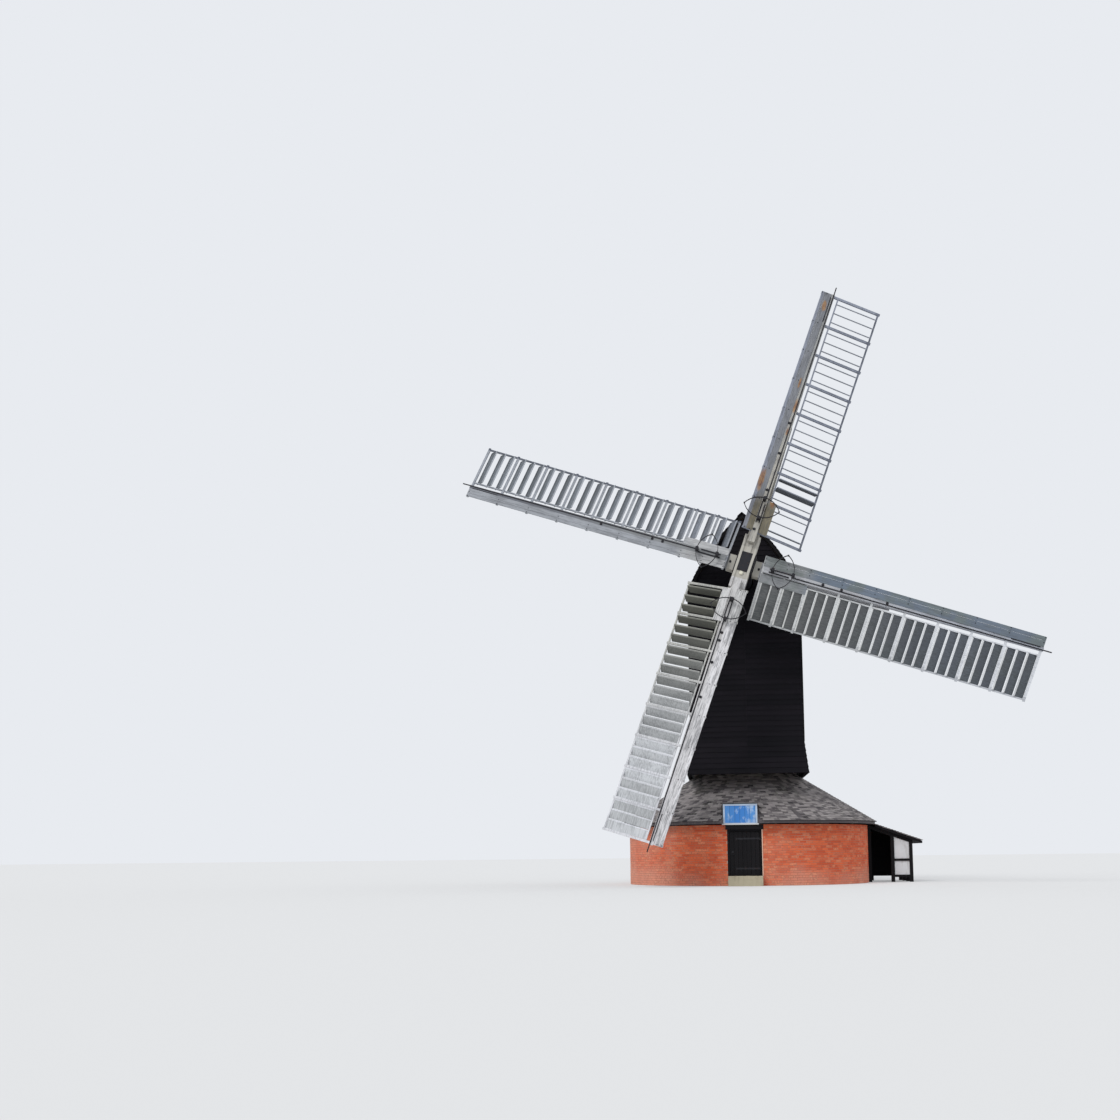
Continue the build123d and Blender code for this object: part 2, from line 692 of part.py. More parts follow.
# Trestle: brick piers, two crosstrees, four quarter bars and the post
LOWER_TOP = CROSSTREE_BOTTOM + CROSSTREE_SIZE
UPPER_BOTTOM = LOWER_TOP + CROSSTREE_GAP
UPPER_TOP = UPPER_BOTTOM + CROSSTREE_SIZE
TRESTLE_ARMS = (
    (TRESTLE_TURN, CROSSTREE_BOTTOM),
    (TRESTLE_TURN + 90, UPPER_BOTTOM),
    (TRESTLE_TURN + 180, CROSSTREE_BOTTOM),
    (TRESTLE_TURN + 270, UPPER_BOTTOM),
)
with BuildPart() as brick_piers:
    for arm_turn, arm_bottom in TRESTLE_ARMS:
        with Locations(Location((0, 0, FLOOR_THICKNESS), (0, 0, arm_turn))):
            with Locations((PIER_RADIUS, 0, 0)):
                Box(
                    PIER_LENGTH,
                    PIER_WIDTH,
                    arm_bottom - FLOOR_THICKNESS,
                    align=(Align.CENTER, Align.CENTER, Align.MIN),
                )
save(brick_piers.part, "brick_piers")

with BuildPart() as crosstrees:
    for beam_turn, beam_bottom in TRESTLE_ARMS[:2]:
        with Locations(Location((0, 0, beam_bottom), (0, 0, beam_turn))):
            Box(
                CROSSTREE_LENGTH,
                CROSSTREE_SIZE,
                CROSSTREE_SIZE,
                align=(Align.CENTER, Align.CENTER, Align.MIN),
            )
save(crosstrees.part, "crosstrees")

with BuildPart() as quarter_bars:
    for arm_turn, arm_bottom in TRESTLE_ARMS:
        bar_foot_z = arm_bottom + CROSSTREE_SIZE
        bar_rise = QUARTER_BAR_HEAD - bar_foot_z
        bar_run = QUARTER_BAR_FOOT - POST_SQUARE / 2
        bar_slope = atan2(bar_rise, bar_run)
        foot_length = QUARTER_BAR_SIZE / sin(bar_slope)
        head_length = QUARTER_BAR_SIZE / cos(bar_slope)
        arm_plane = Plane(
            origin=(0, 0, 0),
            x_dir=Vector(1, 0, 0).rotate(Axis.Z, arm_turn),
            z_dir=Vector(0, -1, 0).rotate(Axis.Z, arm_turn),
        )
        with BuildSketch(arm_plane.offset(-QUARTER_BAR_SIZE / 2)):
            with BuildLine():
                Polyline(
                    (QUARTER_BAR_FOOT, bar_foot_z),
                    (POST_SQUARE / 2, QUARTER_BAR_HEAD),
                    (POST_SQUARE / 2, QUARTER_BAR_HEAD - head_length),
                    (QUARTER_BAR_FOOT - foot_length, bar_foot_z),
                    close=True,
                )
            make_face()
        extrude(amount=QUARTER_BAR_SIZE)
save(quarter_bars.part, "quarter_bars")

with BuildPart() as main_post:
    with BuildSketch(Plane.XY.offset(UPPER_TOP)):
        Rectangle(POST_SQUARE, POST_SQUARE, rotation=TRESTLE_TURN)
    extrude(amount=POST_SQUARE_TOP - UPPER_TOP)
    chamfer(main_post.edges().filter_by(Axis.Z), POST_CHAMFER)
    with BuildSketch(Plane.XY.offset(POST_SQUARE_TOP)):
        Circle(POST_RADIUS)
    extrude(amount=CROWN_TREE_BOTTOM - SEAT - POST_SQUARE_TOP)
save(main_post.part, "main_post")


# Body of the mill: the pointed arch of its roof, as an arc each side of the ridge
def roof_arc():
    """Centre and radius of the arc that runs from the right eave to the ridge."""
    chord_x, chord_z = -BODY_HALF_WIDTH, BODY_APEX - BODY_EAVE
    chord = hypot(chord_x, chord_z)
    radius = (chord**2 / 4 + ROOF_BULGE**2) / (2 * ROOF_BULGE)
    back = radius - ROOF_BULGE
    centre_x = BODY_HALF_WIDTH / 2 - back * chord_z / chord
    centre_z = (BODY_EAVE + BODY_APEX) / 2 + back * chord_x / chord
    return centre_x, centre_z, radius


def arch_line(inset, foot_z):
    """The arch, closed across its foot, as an outline on the XZ plane that is inset from the roof's face."""
    centre_x, centre_z, radius = roof_arc()
    radius -= inset
    foot_x = centre_x + sqrt(radius**2 - (BODY_EAVE - centre_z) ** 2)
    apex_z = centre_z + sqrt(radius**2 - centre_x**2)
    middle_turn = (
        atan2(BODY_EAVE - centre_z, foot_x - centre_x) + atan2(apex_z - centre_z, -centre_x)
    ) / 2
    middle_x = centre_x + radius * cos(middle_turn)
    middle_z = centre_z + radius * sin(middle_turn)
    ThreePointArc((foot_x, BODY_EAVE), (middle_x, middle_z), (0, apex_z))
    ThreePointArc((0, apex_z), (-middle_x, middle_z), (-foot_x, BODY_EAVE))
    Polyline(
        (-foot_x, BODY_EAVE),
        (-foot_x, foot_z),
        (foot_x, foot_z),
        (foot_x, BODY_EAVE),
    )


BREAST_FRONT = BODY_FRONT - BREAST_DEPTH
GABLE_INSET = BODY_ROOF_THICKNESS + SEAT
SHAFT_DIRECTION = Vector(0, cos(radians(SHAFT_TILT)), -sin(radians(SHAFT_TILT)))
HUB = Vector(0, -HUB_FORWARD, HUB_HEIGHT)


def shaft_height(y):
    """Height of the windshaft's axis at a place along the mill."""
    return HUB_HEIGHT - (y + HUB_FORWARD) * tan(radians(SHAFT_TILT))


def shaft_bore(radius):
    """A long cylinder round the windshaft's axis, for holes and seats."""
    with BuildPart() as bore:
        with BuildSketch(Plane(origin=HUB, x_dir=(1, 0, 0), z_dir=SHAFT_DIRECTION)):
            Circle(radius)
        extrude(amount=2 * HUB_FORWARD)
    return bore.part


def breast_outline(wall_start, wall_end):
    """Plan of the breast between two depths behind its face, standing out to a low point in the middle."""
    Polyline(
        (-BODY_HALF_WIDTH, BODY_FRONT + wall_start),
        (0, BREAST_FRONT + wall_start),
        (BODY_HALF_WIDTH, BODY_FRONT + wall_start),
        (BODY_HALF_WIDTH, BODY_FRONT + wall_end),
        (0, BREAST_FRONT + wall_end),
        (-BODY_HALF_WIDTH, BODY_FRONT + wall_end),
        close=True,
    )


with BuildPart() as breast:
    with BuildSketch(Plane.XY.offset(BODY_BOTTOM)):
        with BuildLine():
            breast_outline(0, BODY_WALL)
        make_face()
    extrude(amount=BODY_APEX - BODY_BOTTOM)
    with BuildSketch(Plane.XZ.offset(-BODY_BACK)):
        with BuildLine():
            arch_line(GABLE_INSET, BODY_EAVE - BODY_WALL)
        make_face()
        with Locations((0, BODY_BOTTOM)):
            Rectangle(
                2 * BODY_HALF_WIDTH, BODY_EAVE - BODY_BOTTOM, align=(Align.CENTER, Align.MIN)
            )
    extrude(amount=2 * BODY_BACK, mode=Mode.INTERSECT)
    add(shaft_bore(SHAFT_RADIUS + SHAFT_GAP), mode=Mode.SUBTRACT)
save(breast.part, "breast")

SIDE_FRONT = BODY_FRONT + BODY_WALL
SIDE_BACK = BODY_BACK - BODY_WALL
for side_name, side_sign in {"body_side_left": -1, "body_side_right": 1}.items():
    with BuildPart() as body_side:
        with Locations((side_sign * (BODY_HALF_WIDTH - BODY_WALL / 2), SIDE_FRONT, BODY_BOTTOM)):
            Box(
                BODY_WALL,
                SIDE_BACK - SIDE_FRONT,
                BODY_EAVE - BODY_BOTTOM,
                align=(Align.CENTER, Align.MIN, Align.MIN),
            )
    save(body_side.part, side_name)

FLOOR_TOP = BODY_BOTTOM + BODY_FLOOR
with BuildPart() as tail_wall:
    with BuildSketch(Plane.XZ.offset(-BODY_BACK)):
        with BuildLine():
            arch_line(GABLE_INSET, BODY_EAVE - BODY_WALL)
        make_face()
        with Locations((0, BODY_BOTTOM)):
            Rectangle(
                2 * BODY_HALF_WIDTH, BODY_EAVE - BODY_BOTTOM, align=(Align.CENTER, Align.MIN)
            )
        with Locations((0, FLOOR_TOP)):
            Rectangle(
                TAIL_DOOR_WIDTH,
                TAIL_DOOR_HEIGHT,
                align=(Align.CENTER, Align.MIN),
                mode=Mode.SUBTRACT,
            )
    extrude(amount=BODY_WALL)
save(tail_wall.part, "tail_wall")

with BuildPart() as tail_door:
    with BuildSketch(Plane.XZ.offset(-SIDE_BACK - TAIL_DOOR_THICKNESS)):
        with Locations((0, FLOOR_TOP)):
            Rectangle(TAIL_DOOR_WIDTH, TAIL_DOOR_HEIGHT, align=(Align.CENTER, Align.MIN))
    extrude(amount=TAIL_DOOR_THICKNESS)
save(tail_door.part, "tail_door")

with BuildPart() as body_floor:
    with BuildSketch(Plane.XY.offset(BODY_BOTTOM)):
        with BuildLine():
            Polyline(
                (-BODY_HALF_WIDTH + BODY_WALL, SIDE_BACK),
                (BODY_HALF_WIDTH - BODY_WALL, SIDE_BACK),
                (BODY_HALF_WIDTH - BODY_WALL, SIDE_FRONT),
                (-BODY_HALF_WIDTH + BODY_WALL, SIDE_FRONT),
                close=True,
            )
        make_face()
        Circle(POST_RADIUS + POST_GAP, mode=Mode.SUBTRACT)
    extrude(amount=BODY_FLOOR)
save(body_floor.part, "body_floor")

with BuildPart() as body_roof:
    with BuildSketch(Plane.XZ.offset(-BODY_BACK - ROOF_OVERHANG)):
        with BuildLine():
            arch_line(0, BODY_EAVE - BODY_WALL)
        make_face()
        with BuildLine():
            arch_line(BODY_ROOF_THICKNESS, BODY_EAVE - BODY_WALL)
        make_face(mode=Mode.SUBTRACT)
        with Locations((0, BODY_EAVE)):
            Rectangle(
                3 * BODY_HALF_WIDTH,
                BODY_WALL,
                align=(Align.CENTER, Align.MAX),
                mode=Mode.SUBTRACT,
            )
    extrude(amount=BODY_BACK - BREAST_FRONT + 2 * ROOF_OVERHANG)
save(body_roof.part, "body_roof")


# Skirt that flares out over the top of the roundhouse roof
def skirt_plan(spread, z):
    """Plan of the body at a height, spread outwards on every side."""
    with BuildSketch(Plane.XY.offset(z)) as plan:
        with BuildLine():
            Polyline(
                (-BODY_HALF_WIDTH - spread, BODY_FRONT - spread),
                (0, BREAST_FRONT - spread),
                (BODY_HALF_WIDTH + spread, BODY_FRONT - spread),
                (BODY_HALF_WIDTH + spread, BODY_BACK + spread),
                (-BODY_HALF_WIDTH - spread, BODY_BACK + spread),
                close=True,
            )
        make_face()
    return plan.sketch


POLE_TOP_Z = BODY_BOTTOM - SEAT
POLE_HALF = POLE_SIZE / 2 / cos(radians(POLE_SLOPE))


def pole_height(y):
    """Height of the tail pole's axis."""
    return POLE_TOP_Z - POLE_HALF - (y - POLE_START) * tan(radians(POLE_SLOPE))


def pole_solid(gap):
    """The tail pole, tapered to its end, with a gap added all round."""
    sections = []
    for pole_y, pole_size in ((POLE_START, POLE_SIZE), (POLE_END, POLE_END_SIZE)):
        section_plane = Plane(origin=(0, pole_y, pole_height(pole_y)), x_dir=(1, 0, 0), z_dir=(0, 1, 0))
        with BuildSketch(section_plane) as section:
            Rectangle(
                pole_size + 2 * gap, pole_size / cos(radians(POLE_SLOPE)) + 2 * gap
            )
        sections.append(section.sketch)
    with BuildPart() as pole:
        add(sections)
        loft(ruled=True)
    return pole.part


with BuildPart() as body_skirt:
    add(skirt_plan(SKIRT_FLARE, SKIRT_BOTTOM))
    add(skirt_plan(SKIRT_HEAD, SKIRT_TOP))
    loft(ruled=True)
    with BuildSketch(Plane.XY.offset(BODY_BOTTOM)):
        add(skirt_plan(SEAT, 0))
    extrude(amount=SKIRT_TOP, mode=Mode.SUBTRACT)
    with BuildSketch(Plane.XY.offset(0)):
        add(skirt_plan(SKIRT_FLARE - SKIRT_EDGE, 0))
    extrude(amount=BODY_BOTTOM, mode=Mode.SUBTRACT)
    add(pole_solid(SEAT), mode=Mode.SUBTRACT)
save(body_skirt.part, "body_skirt")

with BuildPart() as tail_pole:
    add(pole_solid(0))
    with Locations((0, POLE_START, POLE_TOP_Z)):
        Box(
            4 * POLE_SIZE,
            8 * POLE_SIZE,
            2 * POLE_SIZE,
            align=(Align.CENTER, Align.CENTER, Align.MIN),
            mode=Mode.SUBTRACT,
        )
save(tail_pole.part, "tail_pole")

# Ladder from the tail door down to the ground
LADDER_TOP_Y = BODY_BACK + SKIRT_FLARE + SEAT
LADDER_RISE = FLOOR_TOP - LADDER_FOOT
LADDER_SLOPE = atan2(LADDER_RISE, LADDER_RUN)
STRING_HALF = LADDER_STRING_DEPTH / 2 / cos(LADDER_SLOPE)
with BuildPart() as ladder_strings:
    for string_sign in (-1, 1):
        string_side = string_sign * (LADDER_WIDTH - LADDER_STRING) / 2
        with BuildSketch(Plane.YZ.offset(string_side - LADDER_STRING / 2)):
            with BuildLine():
                Polyline(
                    (LADDER_TOP_Y, FLOOR_TOP),
                    (LADDER_TOP_Y, FLOOR_TOP - 2 * STRING_HALF),
                    (LADDER_TOP_Y + LADDER_RUN - STRING_HALF, LADDER_FOOT),
                    (LADDER_TOP_Y + LADDER_RUN + STRING_HALF, LADDER_FOOT),
                    close=True,
                )
            make_face()
        extrude(amount=LADDER_STRING)
save(ladder_strings.part, "ladder_strings")

TREAD_LENGTH = LADDER_WIDTH - 2 * LADDER_STRING
with BuildPart() as ladder_treads:
    for tread_index in range(TREAD_COUNT):
        tread_share = (tread_index + 1) / (TREAD_COUNT + 1)
        tread_y = LADDER_TOP_Y + tread_share * LADDER_RUN
        tread_z = FLOOR_TOP - STRING_HALF - tread_share * (LADDER_RISE - STRING_HALF)
        with Locations((0, tread_y, tread_z)):
            Box(TREAD_LENGTH, TREAD_DEPTH, TREAD_THICKNESS)
    add(pole_solid(POLE_GAP), mode=Mode.SUBTRACT)
save(ladder_treads.part, "ladder_treads")

# Beams inside the body: the crown tree on the post, and those under the windshaft
BODY_INSIDE = 2 * (BODY_HALF_WIDTH - BODY_WALL)
with BuildPart() as crown_tree:
    with Locations((0, 0, CROWN_TREE_BOTTOM)):
        Box(
            BODY_INSIDE,
            CROWN_TREE_SIZE,
            CROWN_TREE_SIZE,
            align=(Align.CENTER, Align.CENTER, Align.MIN),
        )
save(crown_tree.part, "crown_tree")

for beam_name, beam_y in {"weather_beam": WEATHER_BEAM_Y, "tail_beam": TAIL_BEAM_Y}.items():
    beam_top = shaft_height(beam_y) - SHAFT_RADIUS - BEARING_HEIGHT / 2
    with BuildPart() as shaft_beam:
        with Locations((0, beam_y, beam_top)):
            Box(
                BODY_INSIDE,
                BEAM_DEPTH,
                BEAM_DEPTH,
                align=(Align.CENTER, Align.CENTER, Align.MAX),
            )
            Box(
                BEARING_WIDTH,
                BEAM_DEPTH,
                BEARING_HEIGHT + SHAFT_RADIUS / 2,
                align=(Align.CENTER, Align.CENTER, Align.MIN),
            )
        add(shaft_bore(SHAFT_RADIUS + SEAT), mode=Mode.SUBTRACT)
    save(shaft_beam.part, beam_name)


# Rotor: places are given across a sail towards its hem, outwards along it, and forwards from the hub
FORWARD = -1 * SHAFT_DIRECTION
UPWARD = Vector(0, sin(radians(SHAFT_TILT)), cos(radians(SHAFT_TILT)))
RIGHT = Vector(1, 0, 0)


def sail_axes(turn):
    """Directions towards the hem and outwards, of a sail at a turn clockwise from upright."""
    across = RIGHT * cos(radians(turn)) - UPWARD * sin(radians(turn))
    outward = RIGHT * sin(radians(turn)) + UPWARD * cos(radians(turn))
    return across, outward


def sail_point(turn, across, along, forward):
    """A point of the rotor."""
    hemward, outward = sail_axes(turn)
    return HUB + hemward * across + outward * along + FORWARD * forward


def flat_plane(turn, across, along, forward):
    """A plane square to the windshaft, with X towards the hem and Y outwards."""
    return Plane(
        origin=sail_point(turn, across, along, forward), x_dir=sail_axes(turn)[0], z_dir=FORWARD
    )


def weathered_plane(turn, along, forward, weather):
    """As flat_plane, but turned about the sail's length so that the hem lies back."""
    hemward, _ = sail_axes(turn)
    lean = radians(weather)
    return Plane(
        origin=sail_point(turn, 0, along, forward),
        x_dir=hemward * cos(lean) - FORWARD * sin(lean),
        z_dir=hemward * sin(lean) + FORWARD * cos(lean),
    )


def taper(along, start, end, start_value, end_value):
    """A value that changes evenly along the sail."""
    return start_value + (end_value - start_value) * (along - start) / (end - start)


def whip_width(along):
    """Width of a whip."""
    return taper(along, WHIP_START, WHIP_TIP, WHIP_WIDTH, WHIP_TIP_WIDTH)


def whip_depth(along):
    """Depth of a whip, from the face of the stock forwards."""
    return taper(along, WHIP_START, WHIP_TIP, WHIP_DEPTH, WHIP_TIP_DEPTH)


def weather_at(along):
    """Angle between a sail's surface and the plane of its turning."""
    return taper(along, WHIP_START, WHIP_TIP, HEEL_WEATHER, TIP_WEATHER)


def bar_radii(short_bays):
    """Distances of the sail bars from the hub, from the heel to the tip."""
    long_bays = 8 if short_bays == 0 else 7
    heel = TIP_BAR - long_bays * BAY - short_bays * SHORT_BAY
    radii = [heel + index * SHORT_BAY for index in range(short_bays)]
    radii += [TIP_BAR - index * BAY for index in range(long_bays, -1, -1)]
    return radii


def heel_radii(short_bays):
    """Distances of the bars that the heel boards cover."""
    return bar_radii(short_bays)[: max(short_bays, 1) + 1]


# Each sail: its turn, its stock's side of the hub, its short bays, its spring's place, and how far the
# outer edges of its shutters have swung forwards at the heel and at the tip: less than nought is backwards
SAILS = {
    "a": (SAIL_TURN, 1, 0, FRONT_SPRING_RADIUS, -72, -62),
    "b": (SAIL_TURN + 90, -1, 2, REAR_SPRING_RADIUS, -12, -16),
    "c": (SAIL_TURN + 180, 1, 0, FRONT_SPRING_RADIUS, -58, -4),
    "d": (SAIL_TURN + 270, -1, 2, REAR_SPRING_RADIUS, -52, -48),
}


def stock_face(side):
    """How far forward of the hub the front face of a stock lies."""
    return side * STOCK_CENTRE + STOCK_DEPTH / 2


def bar_forward(side, along):
    """How far forward of the hub the bars and shutters turn."""
    return stock_face(side) + SEAT + BAR_SEAT * whip_depth(along)


# Windshaft and the iron canister on its front end
SHAFT_START = STOCK_CENTRE + STOCK_DEPTH / 2 + BACK_PLATE
SHAFT_LENGTH = (HUB_FORWARD + SHAFT_TAIL) / cos(radians(SHAFT_TILT)) - SHAFT_START
with BuildPart() as windshaft:
    with BuildSketch(flat_plane(SAIL_TURN, 0, 0, -SHAFT_START)):
        Circle(SHAFT_RADIUS)
    extrude(amount=-SHAFT_LENGTH)
save(windshaft.part, "windshaft")

MID_PLATE = STOCK_CENTRE - STOCK_DEPTH / 2
STOCK_HALF = STOCK_WIDTH / 2 + CHEEK_THICKNESS
with BuildPart() as canister:
    with BuildSketch(flat_plane(SAIL_TURN, 0, 0, -MID_PLATE)):
        Rectangle(CANISTER_SIZE, CANISTER_SIZE)
    extrude(amount=2 * MID_PLATE)
    with BuildSketch(flat_plane(SAIL_TURN, 0, 0, -SHAFT_START)):
        Rectangle(CANISTER_SIZE, CANISTER_SIZE)
    extrude(amount=BACK_PLATE)
    with BuildSketch(flat_plane(SAIL_TURN, 0, 0, -SHAFT_START)):
        for wall_sign in (-1, 1):
            with Locations((0, wall_sign * (STOCK_HALF + CANISTER_WALL / 2))):
                Rectangle(CANISTER_SIZE, CANISTER_WALL)
    extrude(amount=SHAFT_START)
    with BuildSketch(flat_plane(SAIL_TURN, 0, 0, 0)):
        for wall_sign in (-1, 1):
            with Locations((wall_sign * (STOCK_HALF + CANISTER_WALL / 2), 0)):
                Rectangle(CANISTER_WALL, CANISTER_SIZE)
    extrude(amount=STOCK_CENTRE + STOCK_DEPTH / 2 - CANISTER_LIP)
save(canister.part, "canister")

# Stocks: the front one carries sails a and c, the rear one b and d
for stock_name, stock_sail, cheek_reach in (
    ("stock_front", "a", FRONT_CHEEK_REACH),
    ("stock_rear", "b", REAR_CHEEK_REACH),
):
    stock_turn, stock_side = SAILS[stock_sail][:2]
    with BuildPart() as stock:
        for end_sign in (-1, 1):
            for along, width, depth in (
                (0, STOCK_WIDTH, STOCK_DEPTH),
                (cheek_reach, STOCK_WIDTH, STOCK_DEPTH),
                (STOCK_REACH, STOCK_END_WIDTH, STOCK_END_DEPTH),
            ):
                section_plane = Plane(
                    origin=sail_point(
                        stock_turn, 0, end_sign * along, stock_face(stock_side) - depth / 2
                    ),
                    x_dir=sail_axes(stock_turn)[0],
                    z_dir=sail_axes(stock_turn)[1],
                )
                with BuildSketch(section_plane):
                    Rectangle(width, depth)
            loft(ruled=True)
    save(stock.part, stock_name)

# Cheeks each side of the stocks, where they pass through the canister
with BuildPart() as stock_cheeks:
    for cheek_sail, cheek_reach, cheek_proud in (
        ("a", FRONT_CHEEK_REACH, CHEEK_PROUD),
        ("b", REAR_CHEEK_REACH, 0),
    ):
        cheek_turn, cheek_side = SAILS[cheek_sail][:2]
        cheek_back = stock_face(cheek_side) - STOCK_DEPTH
        with BuildSketch(flat_plane(cheek_turn, 0, 0, cheek_back)):
            for cheek_sign in (-1, 1):
                with Locations((cheek_sign * (STOCK_WIDTH + CHEEK_THICKNESS) / 2, 0)):
                    Rectangle(CHEEK_THICKNESS, 2 * cheek_reach)
        extrude(amount=STOCK_DEPTH + cheek_proud)
save(stock_cheeks.part, "stock_cheeks")

# Iron plate over the crossing, and the wedge above it
with BuildPart() as hub_plate:
    with BuildSketch(flat_plane(SAIL_TURN, 0, 0, stock_face(1))):
        Rectangle(STOCK_WIDTH, CANISTER_SIZE)
    extrude(amount=PLATE_THICKNESS)
save(hub_plate.part, "hub_plate")

with BuildPart() as hub_wedge:
    wedge_middle = (CANISTER_SIZE + WEDGE_LENGTH) / 2 + SEAT
    wedge_plane = Plane(
        origin=sail_point(SAIL_TURN, -WEDGE_WIDTH / 2, wedge_middle, stock_face(1)),
        x_dir=sail_axes(SAIL_TURN)[1],
        z_dir=sail_axes(SAIL_TURN)[0],
    )
    with BuildSketch(wedge_plane):
        with BuildLine():
            Polyline(
                (-WEDGE_LENGTH / 2, 0),
                (WEDGE_LENGTH / 2, 0),
                (WEDGE_LENGTH / 2, WEDGE_THICKNESS),
                (-WEDGE_LENGTH / 2, WEDGE_THICKNESS / 2),
                close=True,
            )
        make_face()
    extrude(amount=WEDGE_WIDTH)
save(hub_wedge.part, "hub_wedge")


def bar_solid(turn, side, along, gap):
    """One sail bar, from the leading board's edge to just past the hem, with a gap added round it."""
    start = BOARD_INSET + whip_width(along) / 2 + BOARD_WIDTH
    end = HEM_OFFSET + HEM_WIDTH / 2 + BAR_OVERHANG
    plane = weathered_plane(turn, along, bar_forward(side, along), weather_at(along))
    with BuildPart() as bar:
        with BuildSketch(plane.offset(-BAR_DEPTH / 2 - gap)):
            with Locations(((end - start) / 2, 0)):
                Rectangle(end + start, BAR_WIDTH + 2 * gap)
        extrude(amount=BAR_DEPTH + 2 * gap)
    return bar.part


def edge_section(turn, side, along, offset, lift, width, depth):
    """A section across a lath or board that follows the weather of the sail."""
    plane = weathered_plane(turn, along, bar_forward(side, along), weather_at(along))
    with BuildSketch(
        Plane(
            origin=plane.origin + plane.x_dir * offset + plane.z_dir * lift,
            x_dir=plane.x_dir,
            z_dir=sail_axes(turn)[1],
        )
    ) as section:
        Rectangle(width, depth)
    return section.sketch


# Whips on the front of the stocks, mortised for the bars
with BuildPart() as whips:
    for turn, side, short_bays, *_ in SAILS.values():
        whip_sections = []
        for along in (WHIP_START, WHIP_TIP):
            with BuildSketch(
                Plane(
                    origin=sail_point(
                        turn, 0, along, stock_face(side) + SEAT + whip_depth(along) / 2
                    ),
                    x_dir=sail_axes(turn)[0],
                    z_dir=sail_axes(turn)[1],
                )
            ) as whip_section:
                Rectangle(whip_width(along), whip_depth(along))
            whip_sections.append(whip_section.sketch)
        with BuildPart(mode=Mode.PRIVATE) as whip:
            add(whip_sections)
            loft(ruled=True)
        whip_solid = whip.part
        for along in bar_radii(short_bays):
            whip_solid -= bar_solid(turn, side, along, MORTISE_GAP)
        add(whip_solid)
save(whips.part, "whips")

# Leading boards in front of the bars
with BuildPart() as leading_boards:
    for turn, side, short_bays, *_ in SAILS.values():
        radii = bar_radii(short_bays)
        board_sections = [
            edge_section(
                turn,
                side,
                along,
                -(BOARD_INSET + (whip_width(along) + BOARD_WIDTH) / 2),
                BAR_DEPTH / 2 + BOARD_SEAT + BOARD_THICKNESS / 2,
                BOARD_WIDTH,
                BOARD_THICKNESS,
            )
            for along in [radii[0] - BOARD_HEEL] + radii[1:-1] + [BOARD_TIP]
        ]
        with BuildPart(mode=Mode.PRIVATE) as board:
            add(board_sections)
            loft(ruled=True)
        add(board.part)
save(leading_boards.part, "leading_boards")

# Short boards on the other side of each whip, over the bars at its heel
with BuildPart() as heel_boards:
    for turn, side, short_bays, *_ in SAILS.values():
        radii = heel_radii(short_bays)
        board_sections = []
        for along in [radii[0] - BOARD_HEEL] + radii[1:-1] + [radii[-1] + BAR_WIDTH / 2]:
            inner_edge = whip_width(along) / 2 + HEEL_BOARD_INSET
            board_sections.append(
                edge_section(
                    turn,
                    side,
                    along,
                    (inner_edge + HEEL_BOARD_EDGE) / 2,
                    BAR_DEPTH / 2 + BOARD_SEAT + BOARD_THICKNESS / 2,
                    HEEL_BOARD_EDGE - inner_edge,
                    BOARD_THICKNESS,
                )
            )
        with BuildPart(mode=Mode.PRIVATE) as board:
            add(board_sections)
            loft(ruled=True)
        add(board.part)
save(heel_boards.part, "heel_boards")

# Frame of each sail: bars, the hem, the inner lath and a short lath under the edge of the heel board
for sail_name, (turn, side, short_bays, *_) in SAILS.items():
    radii = bar_radii(short_bays)
    with BuildPart() as sail_frame:
        for lath_offset, lath_width, lath_radii in (
            (HEM_OFFSET, HEM_WIDTH, radii),
            (LATH_INSET, LATH_WIDTH, radii),
            (HEEL_BOARD_EDGE - LATH_WIDTH / 2, LATH_WIDTH, heel_radii(short_bays)),
        ):
            lath_ends = (lath_radii[0] - BAR_WIDTH / 2, lath_radii[-1] + BAR_WIDTH / 2)
            lath_sections = [
                edge_section(turn, side, along, lath_offset, 0, lath_width, HEM_DEPTH)
                for along in [lath_ends[0]] + lath_radii[1:-1] + [lath_ends[1]]
            ]
            with BuildPart(mode=Mode.PRIVATE) as lath:
                add(lath_sections)
                loft(ruled=True)
            add(lath.part)
        for along in radii:
            add(bar_solid(turn, side, along, 0))
    save(sail_frame.part, f"sail_frame_{sail_name}")

# Shutters, each turned about its own middle line; those beside the heel boards are shorter
SHUTTER_START = LATH_INSET + LATH_WIDTH / 2 + PIVOT_GAP
HEEL_SHUTTER_START = HEEL_BOARD_EDGE + PIVOT_GAP
SHUTTER_END = HEM_OFFSET - HEM_WIDTH / 2 - PIVOT_GAP
for sail_name, (turn, side, short_bays, _, heel_open, tip_open) in SAILS.items():
    radii = bar_radii(short_bays)
    with BuildPart() as shutters:
        for inner, outer in zip(radii, radii[1:]):
            shutter_count = 3 if outer - inner > 0.9 * BAY else 2
            shutter_pitch = (outer - inner - BAR_WIDTH) / shutter_count
            shutter_start = HEEL_SHUTTER_START if outer in heel_radii(short_bays) else SHUTTER_START
            for index in range(shutter_count):
                along = inner + BAR_WIDTH / 2 + (index + 0.5) * shutter_pitch
                opening = taper(along, radii[0], radii[-1], heel_open, tip_open)
                plane = weathered_plane(turn, along, bar_forward(side, along), weather_at(along))
                with Locations(plane * Location((0, 0, 0), (opening, 0, 0))):
                    with Locations(((shutter_start + SHUTTER_END) / 2, 0, 0)):
                        Box(
                            SHUTTER_END - shutter_start,
                            shutter_pitch - SHUTTER_GAP,
                            SHUTTER_THICKNESS,
                        )
    save(shutters.part, f"shutters_{sail_name}")

